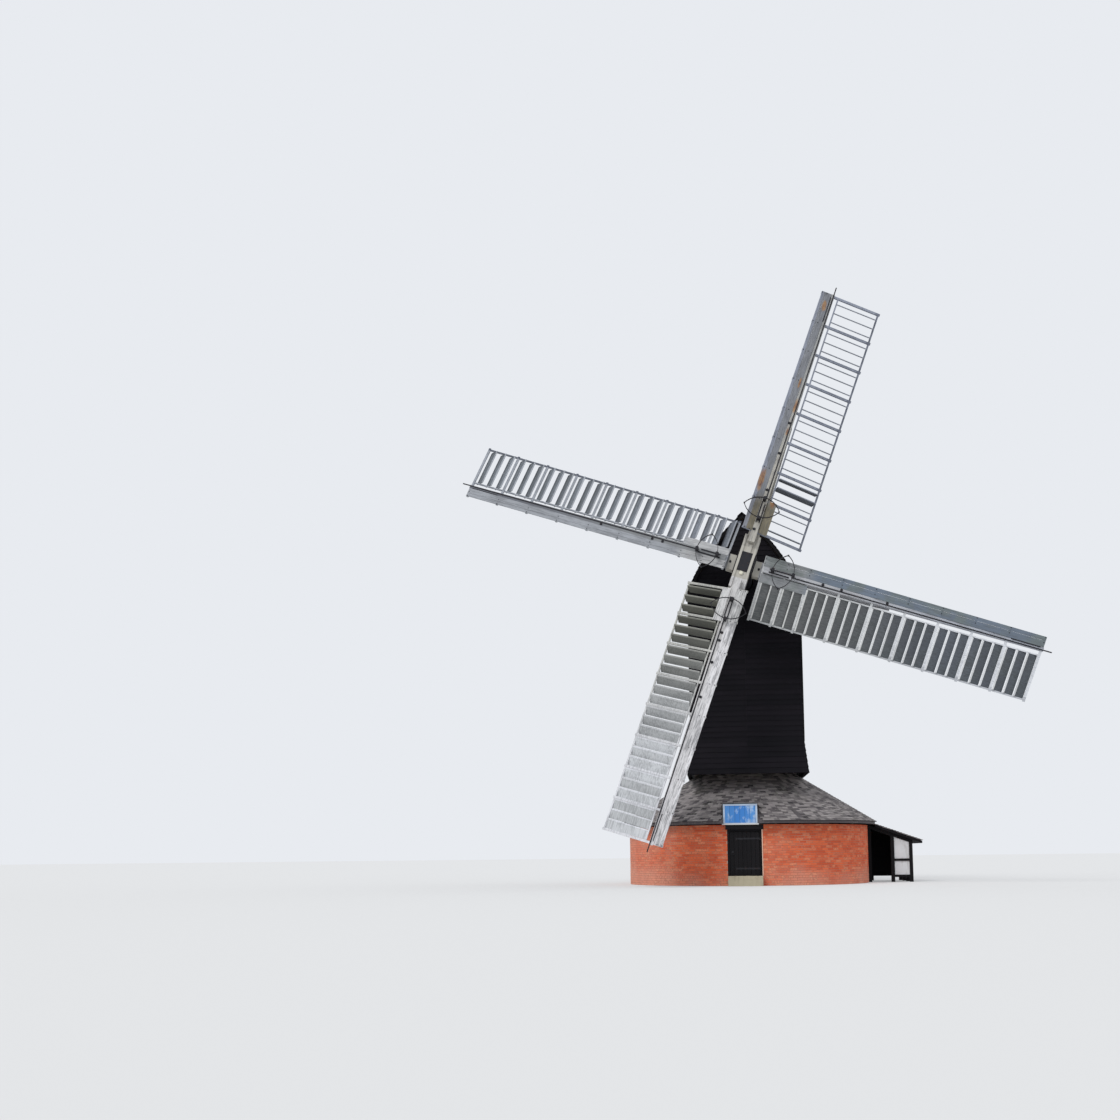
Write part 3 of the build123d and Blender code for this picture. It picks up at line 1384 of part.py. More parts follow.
# Elliptic springs, each a pair of bows on two pillars in front of its whip
with BuildPart() as springs:
    for turn, side, _, spring_radius, *_ in SAILS.values():
        spring_back = stock_face(side) + SEAT + whip_depth(spring_radius) + SPRING_STAND
        with BuildSketch(flat_plane(turn, 0, spring_radius, spring_back)):
            with BuildLine():
                ThreePointArc((-SPRING_HALF_LENGTH, 0), (0, SPRING_RISE), (SPRING_HALF_LENGTH, 0))
                ThreePointArc((SPRING_HALF_LENGTH, 0), (0, -SPRING_RISE), (-SPRING_HALF_LENGTH, 0))
            make_face()
            offset(amount=-SPRING_LEAF, mode=Mode.SUBTRACT)
            for end_sign in (-1, 1):
                with Locations((end_sign * (SPRING_HALF_LENGTH - SPRING_EYE / 2), 0)):
                    Circle(SPRING_EYE)
        extrude(amount=SPRING_WIDTH)
        for bow_sign in (-1, 1):
            pillar_along = spring_radius + bow_sign * (SPRING_RISE - SPRING_LEAF / 2)
            pillar_foot = stock_face(side) + 2 * SEAT + whip_depth(pillar_along - SPRING_PILLAR / 2)
            with BuildSketch(flat_plane(turn, 0, pillar_along, pillar_foot)):
                Rectangle(SPRING_PILLAR, SPRING_PILLAR)
            extrude(amount=spring_back + SPRING_WIDTH - pillar_foot)
save(springs.part, "springs")

# Shutter rods along the front of the whips, from the springs to past the tips
with BuildPart() as shutter_rods:
    for turn, side, _, spring_radius, *_ in SAILS.values():
        rod_start = spring_radius + SPRING_RISE + SPRING_PILLAR / 2
        rod_backs = [
            stock_face(side) + 2 * SEAT + whip_depth(along) for along in (rod_start, ROD_TIP)
        ]
        rod_plane = Plane(
            origin=sail_point(turn, ROD_OFFSET - ROD_WIDTH / 2, 0, 0),
            x_dir=sail_axes(turn)[1],
            z_dir=sail_axes(turn)[0],
        )
        with BuildSketch(rod_plane):
            with BuildLine():
                Polyline(
                    (rod_start, rod_backs[0]),
                    (ROD_TIP, rod_backs[1]),
                    (ROD_TIP, rod_backs[1] + ROD_THICKNESS),
                    (rod_start, rod_backs[0] + ROD_THICKNESS),
                    close=True,
                )
            make_face()
        extrude(amount=ROD_WIDTH)
save(shutter_rods.part, "shutter_rods")
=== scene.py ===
"""Finishes and fine pieces of a post mill: boards, tiles, bricks, shutters and ironwork.

Metres, in the frame of the built parts: the origin on the post's axis at ground level, +Z up, the front
with the door and the sails facing -Y.
"""

from __future__ import annotations

import logging
import math
import random
from dataclasses import dataclass, field
from enum import Enum
from typing import Callable, Iterable, Sequence

import bpy
import numpy as np
from bpy.types import Material, NodeSocket, Object, World
from mathutils import Matrix, Vector

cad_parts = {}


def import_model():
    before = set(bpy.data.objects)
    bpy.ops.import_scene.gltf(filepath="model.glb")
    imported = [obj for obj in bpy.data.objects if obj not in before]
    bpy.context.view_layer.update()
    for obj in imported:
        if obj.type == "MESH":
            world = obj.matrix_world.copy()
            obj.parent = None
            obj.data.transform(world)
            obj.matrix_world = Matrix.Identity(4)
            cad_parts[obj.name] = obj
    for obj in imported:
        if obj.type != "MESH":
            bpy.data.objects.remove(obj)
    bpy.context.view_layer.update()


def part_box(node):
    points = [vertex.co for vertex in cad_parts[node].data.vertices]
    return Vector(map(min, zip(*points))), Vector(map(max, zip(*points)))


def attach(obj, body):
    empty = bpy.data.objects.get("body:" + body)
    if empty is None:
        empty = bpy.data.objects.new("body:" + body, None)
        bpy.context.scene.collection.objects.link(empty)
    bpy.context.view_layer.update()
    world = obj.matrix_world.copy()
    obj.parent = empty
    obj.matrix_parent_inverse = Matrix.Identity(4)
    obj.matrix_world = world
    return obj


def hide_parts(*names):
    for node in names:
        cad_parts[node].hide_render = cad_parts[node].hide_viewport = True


LOG = logging.getLogger("post_mill")

Colour = tuple[int, int, int]
Cell = np.ndarray  # corners of one board, brick or tile, as [along][up][out][xyz]
Stretch = tuple[Vector, Vector, Vector]  # start, end and outward direction of a stretch of wall
Wanted = Callable[[Vector, Vector], bool]  # tells by middle and direction what is picked

TONE = "tone"  # attribute with one random value for each board, brick or tile
STRAIGHT = 0.9  # least part of a direction along an axis for it to count as running that way
SHAFT_TILT = math.radians(5.5)
SAIL_HUB = Vector((0.0, -4.5, 9.7))
SAIL_TURN = math.radians(19.0)
RIGHT = Vector((1.0, 0.0, 0.0))
FORWARD = Vector((0.0, -math.cos(SHAFT_TILT), math.sin(SHAFT_TILT)))
UPWARD = Vector((0.0, math.sin(SHAFT_TILT), math.cos(SHAFT_TILT)))
FRONT_AXES = (RIGHT, Vector((0.0, 0.0, 1.0)), Vector((0.0, -1.0, 0.0)))


def linear(colour: Colour) -> tuple[float, float, float, float]:
    """Turns a colour as it is seen into the shader's own light values, by the sRGB curve.

    Args:
        colour: Red, green and blue, from 0 to 255.

    Returns:
        Red, green and blue as light, and full opacity.
    """
    shares = [value / 255 for value in colour]
    light = [share / 12.92 if share <= 0.04045 else ((share + 0.055) / 1.055) ** 2.4 for share in shares]
    return (light[0], light[1], light[2], 1.0)


class Val:
    """A socket in a material's tree that can be used in Python sums."""

    def __init__(self, tree: Tree, socket: NodeSocket) -> None:
        """Holds a socket and the tree that it is in."""
        self.tree = tree
        self.socket = socket

    def __add__(self, other: Val | float) -> Val:
        """This plus the other."""
        return self.tree.maths("ADD", self, other)

    __radd__ = __add__

    def __sub__(self, other: Val | float) -> Val:
        """This less the other."""
        return self.tree.maths("SUBTRACT", self, other)

    def __rsub__(self, other: float) -> Val:
        """The other less this."""
        return self.tree.maths("SUBTRACT", other, self)

    def __mul__(self, other: Val | float) -> Val:
        """This times the other."""
        return self.tree.maths("MULTIPLY", self, other)

    def __truediv__(self, other: Val | float) -> Val:
        """This divided by the other."""
        return self.tree.maths("DIVIDE", self, other)

    def __gt__(self, other: Val | float) -> Val:
        """One where this is more than the other, and else nought."""
        return self.tree.maths("GREATER_THAN", self, other)

    def __abs__(self) -> Val:
        """This without its sign."""
        return self.tree.maths("ABSOLUTE", self)

    def step(self, start: float, end: float) -> Val:
        """Rises smoothly from nought to one as this goes from start to end, or falls where end is less.

        Args:
            start: Where the result is nought.
            end: Where the result is one.

        Returns:
            The result.
        """
        settings = {"interpolation_type": "SMOOTHSTEP", "clamp": True}
        low, high, low_out, high_out = (start, end, 0.0, 1.0) if start < end else (end, start, 1.0, 0.0)
        sockets = {"Value": self, "From Min": low, "From Max": high, "To Min": low_out, "To Max": high_out}
        return self.tree.node("ShaderNodeMapRange", settings, sockets)["Result"]


class Tree:
    """A material, or the sky, while its nodes are being added."""

    def __init__(self, name: str, owner: World | None = None) -> None:
        """Starts an empty material, or empties the sky's nodes.

        Args:
            name: The material's name.
            owner: The sky, where the nodes are for it.
        """
        self.material = owner or bpy.data.materials.new(name)
        self.material.use_nodes = True
        self.nodes = self.material.node_tree.nodes
        self.links = self.material.node_tree.links
        self.nodes.clear()

    def node(
        self,
        kind: str,
        settings: dict[str, object] | None = None,
        sockets: dict[str | int, object] | None = None,
    ) -> dict[str, Val]:
        """Adds a node.

        Args:
            kind: The node's type.
            settings: Its properties.
            sockets: A value or a link for each socket, by name or by number.

        Returns:
            The node's outputs by name.
        """
        made = self.nodes.new(kind)
        for key, value in (settings or {}).items():
            setattr(made, key, value)
        for key, value in (sockets or {}).items():
            socket = made.inputs[key]
            if isinstance(value, Val):
                self.links.new(value.socket, socket)
            else:
                socket.default_value = value
        return {out.name: Val(self, out) for out in made.outputs if out.enabled}

    def maths(self, operation: str, *values: Val | float) -> Val:
        """Adds one Math node.

        Args:
            operation: The Math node's operation.
            values: What goes into its sockets, in their order.

        Returns:
            The node's result.
        """
        sockets = dict(enumerate(values))
        return self.node("ShaderNodeMath", {"operation": operation}, sockets)["Value"]

    def place(self) -> Val:
        """The point on the piece, in metres."""
        return self.node("ShaderNodeTexCoord")["Object"]

    def split(self, vector: Val) -> tuple[Val, Val, Val]:
        """The three parts of a vector."""
        parts = self.node("ShaderNodeSeparateXYZ", None, {"Vector": vector})
        return parts["X"], parts["Y"], parts["Z"]

    def join(self, x: Val | float, y: Val | float, z: Val | float) -> Val:
        """A vector of three values."""
        return self.node("ShaderNodeCombineXYZ", None, {"X": x, "Y": y, "Z": z})["Vector"]

    def tone(self) -> Val:
        """The random value of the board, brick or tile, or nought on a built part."""
        settings = {"attribute_type": "GEOMETRY", "attribute_name": TONE}
        return self.node("ShaderNodeAttribute", settings)["Fac"]

    def noise(self, vector: Val, scale: float, detail: float = 4.0, roughness: float = 0.55) -> Val:
        """Cloudy noise from nought to one.

        Args:
            vector: Where it is read.
            scale: How many clouds there are in a metre.
            detail: How many finer layers are added.
            roughness: How strong the finer layers are.

        Returns:
            The noise.
        """
        sockets = {"Vector": vector, "Scale": scale, "Detail": detail, "Roughness": roughness}
        return self.node("ShaderNodeTexNoise", None, sockets)["Fac"]

    def tint(self, factor: Val | float, first: Val | Colour, second: Val | Colour) -> Val:
        """A colour that goes from the first to the second with the factor."""
        return self.layer("MIX", factor, first, second)

    def layer(
        self, blend: str, factor: Val | float, first: Val | Colour, second: Val | Colour
    ) -> Val:
        """Lays one colour over another.

        Args:
            blend: The Mix node's way of blending.
            factor: How much of the second shows.
            first: The colour below.
            second: The colour above.

        Returns:
            The result.
        """
        below = first if isinstance(first, Val) else linear(first)
        above = second if isinstance(second, Val) else linear(second)
        settings = {"data_type": "RGBA", "blend_type": blend, "clamp_factor": True}
        return self.node("ShaderNodeMix", settings, {0: factor, 6: below, 7: above})["Result"]

    def finish(
        self,
        colour: Val,
        roughness: Val | float,
        height: Val | None = None,
        relief: float = 0.002,
        metallic: Val | float = 0.0,
        shine: float = 0.35,
    ) -> Material:
        """Adds the surface shader.

        Args:
            colour: The base colour.
            roughness: How matt it is.
            height: The relief, from nought to one.
            relief: The relief's depth in metres.
            metallic: How metallic it is.
            shine: How strongly it reflects, from nought to one.

        Returns:
            The finished material.
        """
        sockets: dict[str | int, object] = {
            "Base Color": colour,
            "Roughness": roughness,
            "Metallic": metallic,
            "Specular IOR Level": shine,
        }
        if height is not None:
            bump = {"Height": height, "Strength": 1.0, "Distance": relief}
            sockets["Normal"] = self.node("ShaderNodeBump", None, bump)["Normal"]
        shader = self.node("ShaderNodeBsdfPrincipled", None, sockets)["BSDF"]
        self.node("ShaderNodeOutputMaterial", None, {"Surface": shader})
        return self.material


class Grain(Enum):
    """Which way the grain of a timber runs."""

    ACROSS = "x"
    DEPTH = "y"
    UPRIGHT = "z"


@dataclass(frozen=True)
class SailPoint:
    """A point of the rotor as a material sees it."""

    outward: Val
    hemward: Val
    sides: tuple[Val, Val, Val, Val]

    def choose(self, tree: Tree, colours: Sequence[Val]) -> Val:
        """The colour of the sail that the point lies on.

        Args:
            tree: The material.
            colours: The colour of each sail, from A to D.

        Returns:
            The colour.
        """
        chosen = colours[0]
        for side, colour in zip(self.sides[1:], colours[1:]):
            chosen = tree.tint(side, chosen, colour)
        return chosen

    def amount(self, shares: Sequence[float]) -> Val:
        """The number of the sail that the point lies on."""
        first, *others = [side * share for side, share in zip(self.sides, shares)]
        return sum(others, first)


@dataclass(frozen=True)
class SailPlace:
    """Where the rotor is and how it is turned at rest."""

    turn: float
    hub: tuple[float, float, float]
    clear: float = 0.5  # how far the leading boards reach from a whip's middle, with some to spare

    def read(self, tree: Tree) -> SailPoint:
        """Works out on which sail a point lies, and how far out and towards the hem it is.

        Args:
            tree: The material that needs it.

        Returns:
            The point.
        """
        x, _, z = tree.split(tree.place())
        level, rise = x - self.hub[0], z - self.hub[2]
        cosine, sine = math.cos(self.turn), math.sin(self.turn)
        along_b = level * cosine - rise * sine
        along_a = level * sine + rise * cosine
        over_a, over_b = along_a > self.clear, along_b > self.clear
        under_a, under_b = (0.0 - along_a) > self.clear, (0.0 - along_b) > self.clear
        sides = (
            over_a * (1 - under_b),
            over_b * (1 - over_a),
            under_a * (1 - over_b),
            under_b * (1 - under_a),
        )
        outward = along_a * (sides[0] - sides[2]) + along_b * (sides[1] - sides[3])
        hemward = along_b * (sides[0] - sides[2]) + along_a * (sides[3] - sides[1])
        return SailPoint(outward, hemward, sides)


@dataclass(frozen=True)
class Timber:
    """Sawn timber with its paint or tar, weathered along the grain."""

    name: str
    colour: Colour
    second: Colour
    worn: Colour
    dirt: Colour
    grain: Grain = Grain.UPRIGHT
    wear: float = 0.3
    soil: float = 0.3
    spread: float = 0.35
    roughness: float = 0.7
    relief: float = 0.0015
    shine: float = 0.35

    def grain_place(self, tree: Tree) -> Val:
        """The point on the piece, squeezed along the grain.

        Args:
            tree: The material that needs it.

        Returns:
            A vector whose first part runs slowly along the grain.
        """
        x, y, z = tree.split(tree.place())
        slow = 0.06
        if self.grain is Grain.ACROSS:
            return tree.join(x * slow, y, z)
        if self.grain is Grain.DEPTH:
            return tree.join(y * slow, x, z)
        return tree.join(z * slow, x, y)

    def make(self) -> Material:
        """Makes the material of this timber.

        Returns:
            The material.
        """
        tree = Tree(self.name)
        place = tree.place()
        grain = self.grain_place(tree)
        tone = tree.tone()
        streak = tree.noise(grain, 26.0, 5.0, 0.6)
        fine = tree.noise(grain, 95.0, 3.0, 0.6)
        cloud = tree.noise(place, 1.3, 3.0, 0.5)
        colour = tree.tint(tone * self.spread + cloud * 0.6, self.colour, self.second)
        worn = (streak * 0.7 + cloud * 0.5).step(0.78 - 0.3 * self.wear, 1.02 - 0.3 * self.wear)
        colour = tree.tint(worn * self.wear, colour, self.worn)
        soiled = (tree.noise(grain, 9.0, 6.0, 0.65) + fine * 0.2).step(0.5, 0.78)
        colour = tree.tint(soiled * self.soil, colour, self.dirt)
        rough = self.roughness - worn * 0.08 + fine * 0.1
        height = streak * 0.6 + fine * 0.4 - worn * 0.25
        return tree.finish(colour, rough, height, self.relief, 0.0, self.shine)


@dataclass(frozen=True)
class Rust:
    """A rust stain on the first sail."""

    outward: float
    hemward: float
    length: float
    width: float


@dataclass(frozen=True)
class SailPaint:
    """Old paint on the timbers of the sails, weathered in its own way on each of the four, with painted
    shade: darker, bluer colours where a sail's timbers are seen from their shaded side.
    """

    name: str
    place: SailPlace
    # colours of sails A to D at heel and tip; the darker, bluer ones are painted shade
    heel: tuple[Colour, Colour, Colour, Colour]
    tip: tuple[Colour, Colour, Colour, Colour]
    streak: Colour
    streaked: tuple[float, float, float, float]
    turns_at: tuple[float, float] = (2.0, 7.5)
    spread: float = 0.3
    # colour of the painted shade on the outer part of the leading boards
    edge: Colour | None = None
    edge_shaded: tuple[float, float, float, float] = (0.0, 0.0, 0.0, 0.0)
    # colour of the painted shade along the hem laths, seen from below
    hem: Colour | None = None
    hem_shaded: tuple[float, float, float, float] = (0.0, 0.0, 0.0, 0.0)
    moss: tuple[float, float, float, float] = (0.0, 0.0, 0.0, 0.0)
    rust: tuple[Rust, ...] = ()
    roughness: float = 0.66
    relief: float = 0.0015

    def _stain(self, tree: Tree, point: SailPoint, colour: Val) -> Val:
        """Lets rust run over the first sail.

        Args:
            tree: The material.
            point: The point on the sails.
            colour: The colour so far.

        Returns:
            The stained colour.
        """
        patch = tree.noise(tree.join(point.hemward, point.outward * 0.4, 0.0), 9.0, 5.0, 0.65)
        for rust in self.rust:
            across = (point.hemward - rust.hemward) / rust.width
            along = (point.outward - rust.outward) / rust.length
            reach = tree.maths("SQRT", across * across + along * along)
            near = (reach + patch * 0.9).step(1.35, 0.85) * point.sides[0]
            tint = tree.tint(patch.step(0.38, 0.62), (168, 128, 84), (124, 78, 48))
            colour = tree.tint(near * 0.8, colour, tint)
        return colour

    def make(self) -> Material:
        """Makes the material of these timbers.

        Returns:
            The material.
        """
        tree = Tree(self.name)
        point = self.place.read(tree)
        _, y, _ = tree.split(tree.place())
        number = point.amount((0.0, 3.7, 8.1, 12.9))
        grain = tree.join(point.outward * 0.06 + number, point.hemward, y)
        along = point.outward.step(*self.turns_at)
        colours = [tree.tint(along, heel, tip) for heel, tip in zip(self.heel, self.tip)]
        colour = point.choose(tree, colours)
        streak = tree.noise(grain, 30.0, 6.0, 0.65)
        fine = tree.noise(grain, 110.0, 3.0, 0.6)
        cloud = tree.noise(tree.join(point.outward, point.hemward, number), 1.7, 4.0, 0.55)
        shade = (tree.tone() * self.spread + cloud * 0.35).step(0.1, 0.7)
        colour = tree.layer("MULTIPLY", shade * 0.6, colour, (200, 200, 198))
        if any(self.moss):
            damp = (cloud + fine * 0.2).step(0.52, 0.7) * point.amount(self.moss)
            colour = tree.tint(damp, colour, (124, 134, 128))
        # Painted shade: the outer part of the leading board turns a darker blue-grey.
        if self.edge is not None:
            edge_in_shade = (point.hemward + streak * 0.05).step(-0.24, -0.27) * point.amount(self.edge_shaded)
            colour = tree.tint(edge_in_shade, colour, self.edge)
        # Painted shade: a dark band along the hem laths, which are seen from below in shadow.
        if self.hem is not None:
            hem_in_shade = (point.hemward - point.outward * 0.0065).step(1.35, 1.37) * point.amount(self.hem_shaded)
            colour = tree.tint(hem_in_shade, colour, self.hem)
        bare = (streak * 0.8 + fine * 0.25 + cloud * 0.3).step(0.61, 0.79)
        colour = tree.tint(bare * point.amount(self.streaked), colour, self.streak)
        colour = self._stain(tree, point, colour)
        height = streak * 0.6 + fine * 0.4 - bare * 0.3
        return tree.finish(colour, self.roughness + fine * 0.12, height, self.relief, 0.0, 0.3)


@dataclass(frozen=True)
class Brick:
    """Fired brick: a tone for each brick, with pale bloom and dark burns."""

    name: str
    colours: tuple[Colour, Colour, Colour]
    bloom: Colour
    burnt: Colour
    relief: float = 0.0025

    def make(self) -> Material:
        """Makes the material of the bricks.

        Returns:
            The material.
        """
        tree = Tree(self.name)
        place = tree.place()
        x, _, z = tree.split(place)
        tone = tree.tone()
        broad = tree.noise(place, 0.7, 3.0, 0.55)
        grit = tree.noise(place, 120.0, 4.0, 0.6)
        spots = tree.noise(place, 22.0, 4.0, 0.6)
        colour = tree.tint(tone.step(0.0, 0.6), self.colours[0], self.colours[1])
        colour = tree.tint((tone + broad * 0.5).step(0.75, 1.35), colour, self.colours[2])
        left = x.step(-1.2, -3.6) * 0.35
        low = z.step(0.75, 0.1) * 0.3
        pale = (broad * 0.9 + spots * 0.35 + left + low).step(0.66, 1.15)
        colour = tree.tint(pale * 0.62, colour, self.bloom)
        colour = tree.tint((spots + tone * 0.2).step(0.66, 0.86) * 0.55, colour, self.burnt)
        colour = tree.layer("MULTIPLY", grit.step(0.35, 0.75) * 0.3, colour, (200, 190, 185))
        return tree.finish(colour, 0.86 + grit * 0.1, grit * 0.6 + spots * 0.4, self.relief)


@dataclass(frozen=True)
class Masonry:
    """Mortar, or walling whose bricks are drawn by the shader round an axis or on flat faces."""

    name: str
    brick: Colour
    brick_second: Colour
    mortar: Colour
    wash: Colour
    washed: float = 0.0
    round_radius: float = 0.0
    skin_radius: float = 0.0

    def make(self) -> Material:
        """Makes the material of the masonry.

        Returns:
            The material.
        """
        tree = Tree(self.name)
        place = tree.place()
        x, y, z = tree.split(place)
        if self.round_radius:
            along = tree.maths("ARCTAN2", x, y) * self.round_radius
        else:
            along = x + y
        settings = {"offset": 0.5, "offset_frequency": 2, "squash": 1.0}
        sockets = {
            "Vector": tree.join(along, z, 0.0),
            "Color1": linear(self.brick),
            "Color2": linear(self.brick_second),
            "Mortar": linear(self.mortar),
            "Scale": 1.0,
            "Mortar Size": 0.005,
            "Mortar Smooth": 0.3,
            "Brick Width": 0.225,
            "Row Height": 0.075,
        }
        courses = tree.node("ShaderNodeTexBrick", settings, sockets)
        grit = tree.noise(place, 90.0, 4.0, 0.6)
        broad = tree.noise(place, 1.1, 4.0, 0.55)
        colour = tree.tint((broad + grit * 0.2).step(0.35, 0.85) * 0.5, courses["Color"], self.mortar)
        colour = tree.tint(self.washed, colour, self.wash)
        height = grit * 0.3 - courses["Fac"] * 0.7
        if self.skin_radius:
            reach = tree.maths("SQRT", x * x + y * y)
            outside = reach > self.skin_radius
            mortar = tree.tint(broad.step(0.4, 0.8) * 0.6, self.mortar, self.wash)
            colour = tree.tint(outside, colour, mortar)
            height = height * (1 - outside) + grit * outside
        return tree.finish(colour, 0.9 + grit * 0.08, height, 0.003)


@dataclass(frozen=True)
class Tile:
    """Old roof tiles with lichen, a tone for each tile."""

    name: str
    colours: tuple[Colour, Colour, Colour]
    lichen: Colour
    moss: Colour

    def make(self) -> Material:
        """Makes the material of the tiles.

        Returns:
            The material.
        """
        tree = Tree(self.name)
        place = tree.place()
        tone = tree.tone()
        broad = tree.noise(place, 0.9, 4.0, 0.6)
        spots = tree.noise(place, 16.0, 5.0, 0.7)
        grit = tree.noise(place, 140.0, 3.0, 0.6)
        colour = tree.tint(tone.step(0.0, 0.7), self.colours[0], self.colours[1])
        colour = tree.tint((tone + broad * 0.4).step(0.88, 1.2), colour, self.colours[2])
        colour = tree.tint((spots + broad * 0.4).step(0.72, 0.95) * 0.45, colour, self.lichen)
        colour = tree.tint((spots - broad * 0.2).step(0.3, 0.2) * 0.5, colour, self.colours[2])
        colour = tree.tint((broad - spots * 0.25).step(0.42, 0.56) * 0.3, colour, self.moss)
        return tree.finish(colour, 0.82 + grit * 0.12, grit * 0.5 + spots * 0.5, 0.003)


@dataclass(frozen=True)
class Iron:
    """Wrought iron under old black paint, with rust coming through."""

    name: str
    paint: Colour = (34, 34, 39)
    rust: Colour = (96, 58, 38)
    rusted: float = 0.35

    def make(self) -> Material:
        """Makes the material of the iron.

        Returns:
            The material.
        """
        tree = Tree(self.name)
        place = tree.place()
        blotch = tree.noise(place, 14.0, 5.0, 0.65)
        grit = tree.noise(place, 160.0, 3.0, 0.6)
        rusty = (blotch + grit * 0.15).step(0.62, 0.8) * self.rusted
        colour = tree.tint(rusty, self.paint, self.rust)
        return tree.finish(colour, 0.5 + rusty * 0.35 + grit * 0.06, grit * 0.4 + blotch * 0.6, 0.001, 0.25)


@dataclass(frozen=True)
class Plaster:
    """Lime plaster or dressed stone: pale, blotched, with rain stains."""

    name: str
    colour: Colour
    second: Colour
    stain: Colour
    relief: float = 0.002

    def make(self) -> Material:
        """Makes the material of the plaster.

        Returns:
            The material.
        """
        tree = Tree(self.name)
        place = tree.place()
        x, y, z = tree.split(place)
        broad = tree.noise(place, 3.0, 5.0, 0.6)
        grit = tree.noise(place, 110.0, 4.0, 0.6)
        runs = tree.noise(tree.join(x, y, z * 0.12), 11.0, 4.0, 0.6)
        colour = tree.tint(broad, self.colour, self.second)
        colour = tree.tint((runs + broad * 0.3).step(0.62, 0.95) * 0.5, colour, self.stain)
        return tree.finish(colour, 0.85 + grit * 0.1, grit * 0.6 + broad * 0.4, self.relief)


@dataclass(frozen=True)
class ShedPanel:
    """White infill at the front of the lean-to, and tarred boards behind it, kept near black as painted
    shade for the open lean-to's shadowed inside.
    """

    name: str
    front: Colour = (230, 232, 234)
    second: Colour = (214, 215, 214)
    stain: Colour = (150, 144, 134)
    # near-black tar, also painted shade for the lean-to's shadowed inside
    tar: Colour = (16, 16, 20)
    tar_shade_second: Colour = (30, 27, 30)
    board: float = 0.17
    front_until: float = -0.065
    white_from: float = 4.2

    def make(self) -> Material:
        """Makes the material of the panels.

        Returns:
            The material.
        """
        tree = Tree(self.name)
        place = tree.place()
        x, y, z = tree.split(place)
        broad = tree.noise(place, 3.0, 5.0, 0.6)
        grit = tree.noise(place, 110.0, 4.0, 0.6)
        runs = tree.noise(tree.join(x, y, z * 0.12), 11.0, 4.0, 0.6)
        lime = tree.tint(broad, self.front, self.second)
        lime = tree.tint((runs + broad * 0.3).step(0.66, 0.95) * 0.5, lime, self.stain)
        seam = (abs(tree.maths("FRACT", z / self.board) - 0.5)).step(0.44, 0.49)
        # Tar black, also standing as painted shade for the shadowed inside of the open lean-to.
        black = tree.tint(runs, self.tar, self.tar_shade_second)
        behind = tree.maths("MAXIMUM", y > self.front_until, (self.white_from - x) > 0.0)
        colour = tree.tint(behind, lime, black)
        height = (grit * 0.4 + broad * 0.3) * (1 - behind) + (runs * 0.3 - seam) * behind
        return tree.finish(colour, 0.84 + grit * 0.1, height, 0.003, 0.0, 0.2)


@dataclass(frozen=True)
class BoardPaint:
    """Bright old paint on upright boards, chalked in pale patches."""

    name: str
    colour: Colour = (64, 134, 212)
    second: Colour = (104, 166, 228)
    chalk: Colour = (186, 210, 236)
    board: float = 0.153

    def make(self) -> Material:
        """Makes the material of the painted boards.

        Returns:
            The material.
        """
        tree = Tree(self.name)
        place = tree.place()
        x, y, z = tree.split(place)
        number = tree.maths("FLOOR", x / self.board)
        shade = tree.node("ShaderNodeTexWhiteNoise", {"noise_dimensions": "1D"}, {"W": number})["Value"]
        patch = tree.noise(tree.join(x, y, z * 0.7), 5.0, 5.0, 0.62)
        fine = tree.noise(tree.join(x, y, z * 0.1), 60.0, 3.0, 0.6)
        colour = tree.tint(shade, self.colour, self.second)
        colour = tree.tint((patch + shade * 0.16).step(0.55, 0.72) * 0.85, colour, self.chalk)
        seam = tree.maths("FRACT", x / self.board)
        open_seam = (abs(seam - 0.5)).step(0.455, 0.49)
        colour = tree.tint(open_seam * 0.7, colour, (40, 62, 104))
        return tree.finish(colour, 0.6 + patch * 0.2, fine * 0.3 - open_seam, 0.003)


